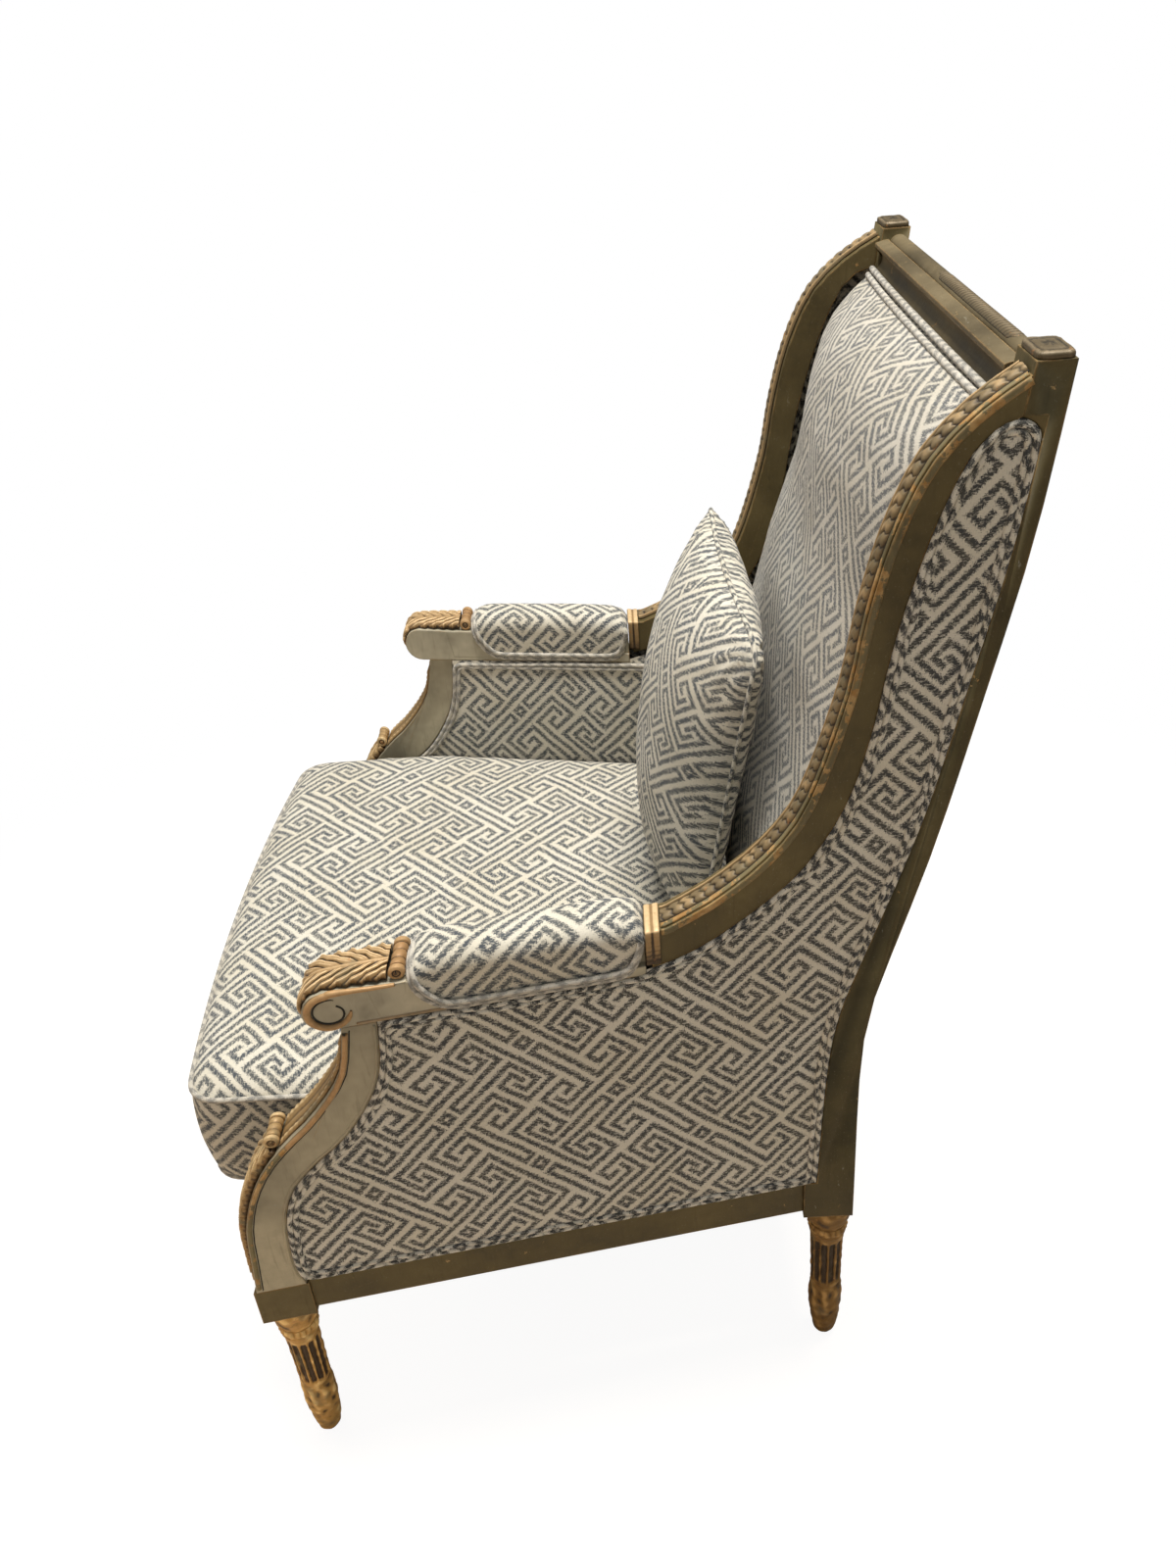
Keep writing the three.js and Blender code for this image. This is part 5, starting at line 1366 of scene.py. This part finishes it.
def roll(name, y, z, low, high):
    """A carved roll across the side, thick at its ends, with a curl cut in each end."""
    t = np.linspace(0, 1, 80)[:, None]
    beads = 0.80 + 0.20 * np.abs(np.cos(math.pi * 4 * t)) ** 0.6
    ends = np.where((t < 0.14) | (t > 0.86), 1.0, beads * 0.93)
    gap = np.exp(-((t - 0.16) / 0.018) ** 2) + np.exp(-((t - 0.84) / 0.018) ** 2)
    r = ROLL_R * (ends - 0.22 * gap) * np.minimum(1, 0.80 + np.minimum(t, 1 - t) / 0.025 * 0.2)
    # relief is painted shade: darker between the beads and in the cuts by the ends
    relief = np.clip(0.75 - 1.2 * (1 - ends) * 2 - 0.6 * gap, 0, 1)
    angle = np.linspace(0, 2 * math.pi, 40, endpoint=False)
    depth = low + (high - low) * t
    ring = np.stack(np.broadcast_arrays(y + r * np.cos(angle), z + r * np.sin(angle), depth), -1)
    skin = Skin().grid(side(ring), wrap=True, relief=np.broadcast_to(relief, ring.shape[:2]))
    centre = np.array([y, z])
    for rim, out in ((ring[0], -1), (ring[-1], 1)):
        face, shade = [], []
        for wide, rise, tone in ((1, 0, 0.7), (0.86, 0.5, 0.8), (0.74, 0.4, 0.7), (0.62, -0.6, 0.05),
                                 (0.5, -0.7, 0.1), (0.36, 0.5, 0.75)):
            face.append(level_ring(rim[:, :2], centre, wide, rim[0, 2] + out * rise))
            shade.append(np.full(len(rim), tone))
        skin.grid(side(face), wrap=True, flip=out < 0, relief=shade)
        skin.fan(side(face[-1]), side([y, z, rim[0, 2] + out * 0.9]))
    return skin.solid(name)


on_both(roll("leaf_roll_left", -367.2, 617.2, 4.0, 45.0), GILT_LINE)

# Rim of the scroll's eye, and its curl drawn as a dark line of painted shade

rim_line = [(y, ARM_TOP + 1.0 - 1.6 * smoothstep(0, 1, (y + 424) / 50))
            for y in np.linspace(-369, SCROLL_Y + 5, 26)]
rim_line += [(SCROLL_Y + 2 + 17.4 * math.cos(a), ARC_Z + 17.2 * math.sin(a))
             for a in np.radians(np.linspace(88, 352, 90))]
rim_line = smooth_line(even(rim_line, 170), 4)
rim_wide = table(((0, 1.6), (0.25, 2.3), (0.4, 3.1), (0.8, 3.1), (0.95, 2.2), (1, 0.8)))
bead("scroll_rim", rim_line, -0.1, rim_wide(np.linspace(0, 1, 170)), GILT_LINE, around=14)
curl_angle = np.radians(np.linspace(66, 402, 150))
curl_r = np.r_[np.full(104, 13.4), 13.4 - 5.2 * np.linspace(0, 1, 46) ** 1.3]
curl = np.column_stack([SCROLL_Y + 2.4 + curl_r * np.cos(curl_angle),
                        ARC_Z - 0.2 + curl_r * 0.96 * np.sin(curl_angle)])
curl_wide = table(((0, 0.25), (0.12, 0.75), (0.8, 0.95), (1, 0.8)))
bead("scroll_curl", curl, -0.2, curl_wide(np.linspace(0, 1, 150)), GROOVE_SHADE, around=8)

# Gilt bead with a dark line of painted shade on the support's front edge, pale fillet at its back edge


def between(line, low, high):
    return line[(line[:, 1] > low) & (line[:, 1] < high)]


ROLL_AT = support_front[11]
front, back = even(support_front, 120), even(support_back, 120)
into_wood = normals_of(front, REARWARD)
edge = between(front + into_wood * 3.0, 264, 566)
split = ROLL_AT[1] + 2
bead("support_bead", edge[edge[:, 1] > split], -0.2, 2.5, GILT_LINE)
bead("support_bead_low", edge[edge[:, 1] < split + 3], -0.1, 2.1, PAINT_EDGE)
bead("support_line", between(front + into_wood * 6.3, 262, 568), 0.1, 0.6, GROOVE_SHADE, around=6)
fillet = between(back + normals_of(back, FRONTWARD) * 2.4, 266, 570)
bead("support_fillet", fillet, 0.5, 1.5, PAINT_PALE)
arm_edge = [(y, ARM_LOW + 2.2) for y in np.linspace(SCROLL_Y + 21, -322, 30)]
bead("arm_bead", arm_edge, 0.3, 1.3, GILT_DULL)

# Leaf, channel and roll on the support's front


def refined(line, normals, step):
    """A line and its normals with points a step apart."""
    count = int(length_of(line) / step)
    return even(line, count), even(np.column_stack([line, normals]), count)[:, 2:]


leaf_at = even(support_front, 400)
leaf_out = normals_of(leaf_at, FRONTWARD)
root = int(np.argmin(np.abs(leaf_at[:, 1] - (ROLL_AT[1] - 5))))
lower, upper = slice(14, root), slice(root + 8, 384)
upper_long = length_of(leaf_at[upper])
LOW_HALF, LOW_PITCH = 16.8, 11.0
low_leaf = leaf_height(length_of(leaf_at[lower]), LOW_HALF, LOW_PITCH,
                       table(((0, 1.2), (0.12, 4.2), (0.5, 7.4), (0.85, 9.0), (1, 8.4))))


def support_height(s, depth):
    return low_leaf(s, (depth - 22.5) * 21.0 / LOW_HALF * 0.8 + ARM_WIDTH / 2)


def support_wide(s):
    return 0.94 + 0.10 * np.abs(np.sin(math.pi * s / LOW_PITCH)) ** 0.6


def channel_height(s, depth):
    c = np.abs(depth - 22.5) / 16.5
    beads = np.abs(np.sin(math.pi * s / 7.2)) ** 0.6
    rim = smoothstep(0.62, 0.72, c) * (1 - smoothstep(0.95, 1.0, c))
    fade = smoothstep(0, 6, s) * (1 - smoothstep(upper_long - 8, upper_long, s))
    h = 1.6 + 1.4 * fade * (rim * (0.5 + beads) + 0.5 * np.cos(c * 9) * (1 - rim))
    # The second value is painted light: a painted highlight on the beads of the rims and painted shade in the
    # channel's folds
    return np.maximum(h, 0.4), np.clip(0.34 + 0.42 * rim * beads + 0.16 * np.cos(c * 9), 0, 1)


leaf = carved("support_leaf_low_left", *refined(leaf_at[lower], leaf_out[lower], 0.7),
              np.linspace(4.6, 40.4, 44), support_height, base=0.2, depth_scale=support_wide)
on_both(leaf, LIT_GILT, ["support_leaf"])
channel = carved("support_leaf_up_left", *refined(leaf_at[upper], leaf_out[upper], 0.8),
                 np.linspace(6, 39, 40), channel_height, base=0.2)
on_both(channel, LIT_GILT)
on_both(roll("support_roll_left", ROLL_AT[0] - 7.35, ROLL_AT[1] + 5.25, 7.0, 38.0), LIT_GILT)

# Collar between the arm's pad and the wing


def collar():
    ys = (-165.6, -165.2, -164.2, -161.8, -161.0, -160.0, -158.8, -157.8, -157.0, -154.6, -153.6, -153.2)
    swells = (-0.8, -0.1, 0.5, 0.5, -0.2, -0.9, -0.9, -0.2, 0.5, 0.5, -0.1, -0.8)
    low, high, near, far = 584.2, 621.3, -2.3, 38.2
    rise = high - 2.5 - low
    up = np.linspace(0, 1, 22)
    rows, shade = [], []
    for y, swell in zip(ys, swells):
        ring, tone = [], []
        for t in up:
            cut = 0.45 * abs(math.sin(t * math.pi * 7)) ** 0.5
            ring.append((y, low + rise * t, near - swell * 0.5 + 0.4 - cut * (1 - t)))
            tone.append(0.16 + 0.5 * t - 0.3 * (1 - cut * 2) * (1 - t))
        for t in np.linspace(0, 1, 16):
            dome = high - 1.6 + swell * 0.7 + 1.1 * math.sin(math.pi * t)
            ring.append((y, dome, near + 2 + (far - near - 4) * t))
            tone.append(0.86)
        for t in up[::-1]:
            ring.append((y, low + rise * t, far + swell * 0.4 - 0.3))
            tone.append(0.16 + 0.5 * t)
        rows.append(ring)
        shade.append(np.clip(np.array(tone) - 0.5 * (swell < -0.5), 0, 1))
    rows = np.array(rows)
    return closed_body("collar_left", side(rows), shade, centres=[side(rows[k].mean(0)) for k in (0, -1)])


on_both(collar(), GILT, ["arm_collar"])

# Crest rail: a roll at the rear, a flat band, and a deep cove over the back's cloth

CREST_TOP, CREST_R = float(rear_y(1040)), 9.4
CREST_Y, CREST_Z = float(rear_y(1034)) - CREST_R, 1033.4


def crest_moulding():
    profile = [(float(rear_y(z)), z) for z in (984.2, 1010, 1028)]
    profile += [(CREST_Y + CREST_R * math.cos(a), CREST_Z + CREST_R * math.sin(a))
                for a in np.radians(np.linspace(4, 158, 18))]
    profile += [(CREST_TOP - back, z) for back, z in
                ((18.9, 1034.8), (19.9, 1034.6), (20.4, 1038.2), (21.2, 1039.0), (26, 1038.4), (32.0, 1037.0),
                 (33.5, 1036.2), (33.9, 1034.6), (33.7, 1032.4), (32.4, 1031.6))]
    profile += [(CREST_TOP - 32 + 6.0 * math.sin(t * math.pi) ** 0.8, 1031.2 - 19.5 * t)
                for t in np.linspace(0.04, 0.96, 16)]
    profile += [(CREST_TOP - back, z) for back, z in
                ((32.2, 1011.0), (33.6, 1010.2), (34.0, 1008.4), (33.8, 984.2))]
    xs = np.linspace(-237.7, 237.7, 60)
    rings = flat([[(x, y, z) for y, z in profile] for x in xs])
    ends = flat([(x, CREST_TOP - 16, 1008) for x in xs[[0, -1]]])
    crest = closed_body("crest_moulding", rings, centres=ends)
    crest.data.set_sharp_from_angle(angle=math.radians(38))
    return crest


dress(crest_moulding(), PAINT_CREST, stands_for=["crest_rail"])
# A dark line of painted shade along the groove on the crest's top
groove = flat([(x, CREST_TOP - 19.5, 1036.0) for x in (-237, 0, 237)])
dress(tube("crest_groove", groove, 0.8 * MM, around=6), GROOVE_SHADE)

# Ribbon on the crest's roll and the caps of the stiles


def crest_ribbon():
    start, end, half = -46, 190, 7.4
    gx, gc = np.meshgrid(np.linspace(start, end, 470), np.linspace(-half, half, 26), indexing="ij")
    twist = np.abs(np.sin(math.pi * (gx / 6.4 + 0.55 * np.abs(gc) / half + 0.25 * np.sin(gx / 17)))) ** 0.6
    dome = np.sqrt(np.clip(1 - (gc / 7.7) ** 2, 0, 1))
    ends = smoothstep(0, 16, gx - start) * smoothstep(0, 10, end - gx)
    height = 0.15 + 1.35 * dome * (0.35 + 0.65 * twist) * (0.3 + 0.7 * ends)
    lean = gc * (0.55 + 0.45 * ends) * 0.92
    z = CREST_Z + np.sqrt(np.clip(CREST_R ** 2 - lean ** 2, 1, None)) - 0.35 + height
    top = np.stack([gx, CREST_Y - 0.4 + lean, z], -1)
    foot = top - (0, 0, 0.8)
    ring = np.concatenate([foot[:, :1], top, foot[:, -1:]], 1)
    # The ribbon's relief value is painted light: a painted highlight on the crown of each twist and painted
    # shade between them
    return closed_body("crest_carving", flat(ring), np.pad(0.1 + 0.8 * dome * twist ** 1.5, ((0, 0), (1, 1))))


dress(crest_ribbon(), WORN, stands_for=["crest_ribbon"])


def cap():
    low, count = 1049.4, 96
    centre = np.array([260.5, float(rear_y(1049)) - 13.5])
    angle = np.linspace(0, 2 * math.pi, count, endpoint=False)
    plan = np.column_stack([half * np.copysign(np.abs(turn) ** 0.3, turn)
                            for half, turn in ((22.2, np.cos(angle)), (13.2, np.sin(angle)))])
    notch = 1 - 0.02 * np.abs(np.sin(np.linspace(0, math.pi * 22, count))) ** 0.6
    rings, tone = [], []
    for wide, up, shade in ((0.97, 0, 0.15), (1.0, 0.8, 0.55), (1.0, 3.6, 0.5), (0.97, 5.0, 0.75),
                            (0.90, 5.9, 0.85), (0.80, 6.2, 0.55), (0.74, 5.4, 0.1), (0.66, 5.3, 0.15),
                            (0.58, 6.1, 0.6), (0.40, 6.7, 0.45), (0.18, 6.5, 0.3)):
        outline = plan * (notch[:, None] if up > 0.5 else 1)
        rings.append(level_ring(centre + outline, centre, wide, low + up * 0.8))
        tone.append(np.full(count, shade))
    rings = np.array(rings)
    lumps = rough(rings * MM, 260, 6.0)
    rings[..., 2] += lumps * 0.5 * (rings[..., 2] > low + 4)
    tone = np.clip(np.array(tone) + lumps * 0.25, 0, 1)
    return closed_body("cap_left", flat(rings), tone, centres=flat([(*centre, low), (*centre, low + 6.4)]))


on_both(cap(), WORN, ["stile_cap"])

# Webbing and dust cover under the seat


def webbing():
    skin = Skin()
    z, thick, half_wide, over = 266.5, (0, 0, 0.55), 25.0, 0.7
    for k in range(5):
        y = SEAT_REAR - 55 - (SEAT_REAR - SEAT_FRONT - 110) * k / 4
        half = side_x(y, RAIL_TOP) - 51
        cross = [(x, y, z + over * math.sin(x / 48 * math.pi / 2 + k * math.pi))
                 for x in np.linspace(-half, half, 90)]
        x = -210 + 105 * k
        down = [(x, v, z - over * math.sin((v - SEAT_REAR) / 52 * math.pi / 2 + k * math.pi))
                for v in np.linspace(SEAT_REAR, SEAT_FRONT, 90)]
        for line, across in ((cross, (0, half_wide, 0)), (down, (half_wide, 0, 0))):
            near, far = np.subtract(line, across), np.add(line, across)
            ring = flat(np.stack([near - thick, far - thick, far + thick, near + thick], 1))
            skin.grid(ring, wrap=True).caps(ring)
    return skin.solid("webbing", smooth=False, weld=0)


dress(webbing(), JUTE, stands_for=["seat_webbing"])


def dust_cover():
    ys = np.linspace(-549.5, 17, 60)
    t = np.linspace(-1, 1, 70)
    half = np.array([side_x(y, RAIL_BOTTOM) - 41.5 for y in ys])
    xs = half[:, None] * t
    gy = np.broadcast_to(ys[:, None], xs.shape)
    sag = 2.2 * (1 - t ** 2) * (1 - ((gy + 266) / 284) ** 2)
    z = 221.2 - sag + rough(np.dstack([xs, gy, xs * 0]) * MM, 9, 2.0) * 0.4
    skin = Skin().grid(flat(np.dstack([xs, gy, z])), np.dstack([xs, gy]) * MM, flip=True)
    made = skin.build("dust_cover_cloth")
    dress(made, LINING, stands_for=["dust_cover"])


dust_cover()


# Camera and light


def look(location, yaw, pitch, roll, focal):
    cam = bpy.data.objects.new("camera", bpy.data.cameras.new("camera"))
    bpy.context.scene.collection.objects.link(cam)
    ahead = Vector((-math.cos(yaw) * math.cos(pitch), math.sin(yaw) * math.cos(pitch), -math.sin(pitch)))
    level = ahead.cross(Vector((0, 0, 1))).normalized()
    over = level.cross(ahead)
    right = math.cos(roll) * level + math.sin(roll) * over
    up = -math.sin(roll) * level + math.cos(roll) * over
    cam.matrix_world = Matrix(((right.x, up.x, -ahead.x, location[0]), (right.y, up.y, -ahead.y, location[1]),
                               (right.z, up.z, -ahead.z, location[2]), (0, 0, 0, 1)))
    cam.data.sensor_fit = "AUTO"
    cam.data.sensor_width = 36
    cam.data.lens = focal * 36 / 1600
    cam.data.clip_start, cam.data.clip_end = 0.05, 50
    bpy.context.scene.camera = cam


look((1.13404562, 0.081058, 1.28168229), -0.0515427, 0.5616737, -0.08987615, 1300.695)


def lamp(name, location, target, size, power, colour=(1, 1, 1)):
    light = bpy.data.lights.new(name, "AREA")
    light.shape, light.size, light.size_y = "RECTANGLE", *size
    light.energy, light.color = power, colour
    obj = bpy.data.objects.new(name, light)
    bpy.context.scene.collection.objects.link(obj)
    obj.location = location
    obj.rotation_euler = (Vector(target) - Vector(location)).to_track_quat("-Z", "Y").to_euler()


lamp("ceiling", (0.0, 0.3, 4.2), (-0.02, 0, 0.5), (0.7, 1.8), 190, (1.0, 0.985, 0.955))
lamp("window", (-1.5, -2.1, 2.4), (0, 0, 0.6), (1.6, 1.6), 13, (0.95, 0.98, 1.0))
lamp("near", (2.6, -0.8, 2.3), (0.2, 0, 0.5), (1.8, 1.6), 5.9, (0.87, 0.95, 1.0))
lamp("bounce", (1.6, -1.5, 0.12), (0.3, -0.25, 0.10), (1.8, 0.3), 4.2, (1.0, 0.55, 0.22))

# Surroundings: even light for the chair, white behind it

g = Graph("world", world=True)
bpy.context.scene.world = g.owner
g.link(g.node("ShaderNodeLightPath").outputs["Is Camera Ray"], g.shader.inputs[0])
for k, (grey, strength) in enumerate(((0.97, 0.27), (1, 1.0))):
    light = g.node("ShaderNodeBackground")
    light.inputs[0].default_value, light.inputs[1].default_value = (grey, grey, grey, 1), strength
    g.link(light.outputs[0], g.shader.inputs[k + 1])

# Floor: it takes shadows near the chair and fades to white further off

floor = mesh_object("floor", [(-6, -6, 0), (6, -6, 0), (6, 6, 0), (-6, 6, 0)], [(0, 1, 2, 3)], smooth=False)
g = Graph("floor_white")
g.set(Base_Color=(0.60, 0.51, 0.405, 1), Roughness=0.9)
away = g.node("ShaderNodeVectorMath", operation="LENGTH")
g.link(g.node("ShaderNodeNewGeometry").outputs["Position"], away.inputs[0])
even_white = g.range(away.outputs["Value"], 0.6, 1.5)
glow = g.node("ShaderNodeEmission")
g.link(g.range(even_white, 0, 1, 1.32, 1.0), glow.inputs[1])
share = g.node("ShaderNodeMixShader")
camera_ray = g.node("ShaderNodeLightPath").outputs["Is Camera Ray"]
g.link(g.math("MULTIPLY", camera_ray, g.range(even_white, 0, 1, 0.7, 1.0)), share.inputs[0])
g.link(g.shader.outputs[0], share.inputs[1])
g.link(glow.outputs[0], share.inputs[2])
g.link(share.outputs[0], g.out.inputs[0])
floor.data.materials.append(g.owner)

scene = bpy.context.scene
scene.view_settings.view_transform = "Standard"
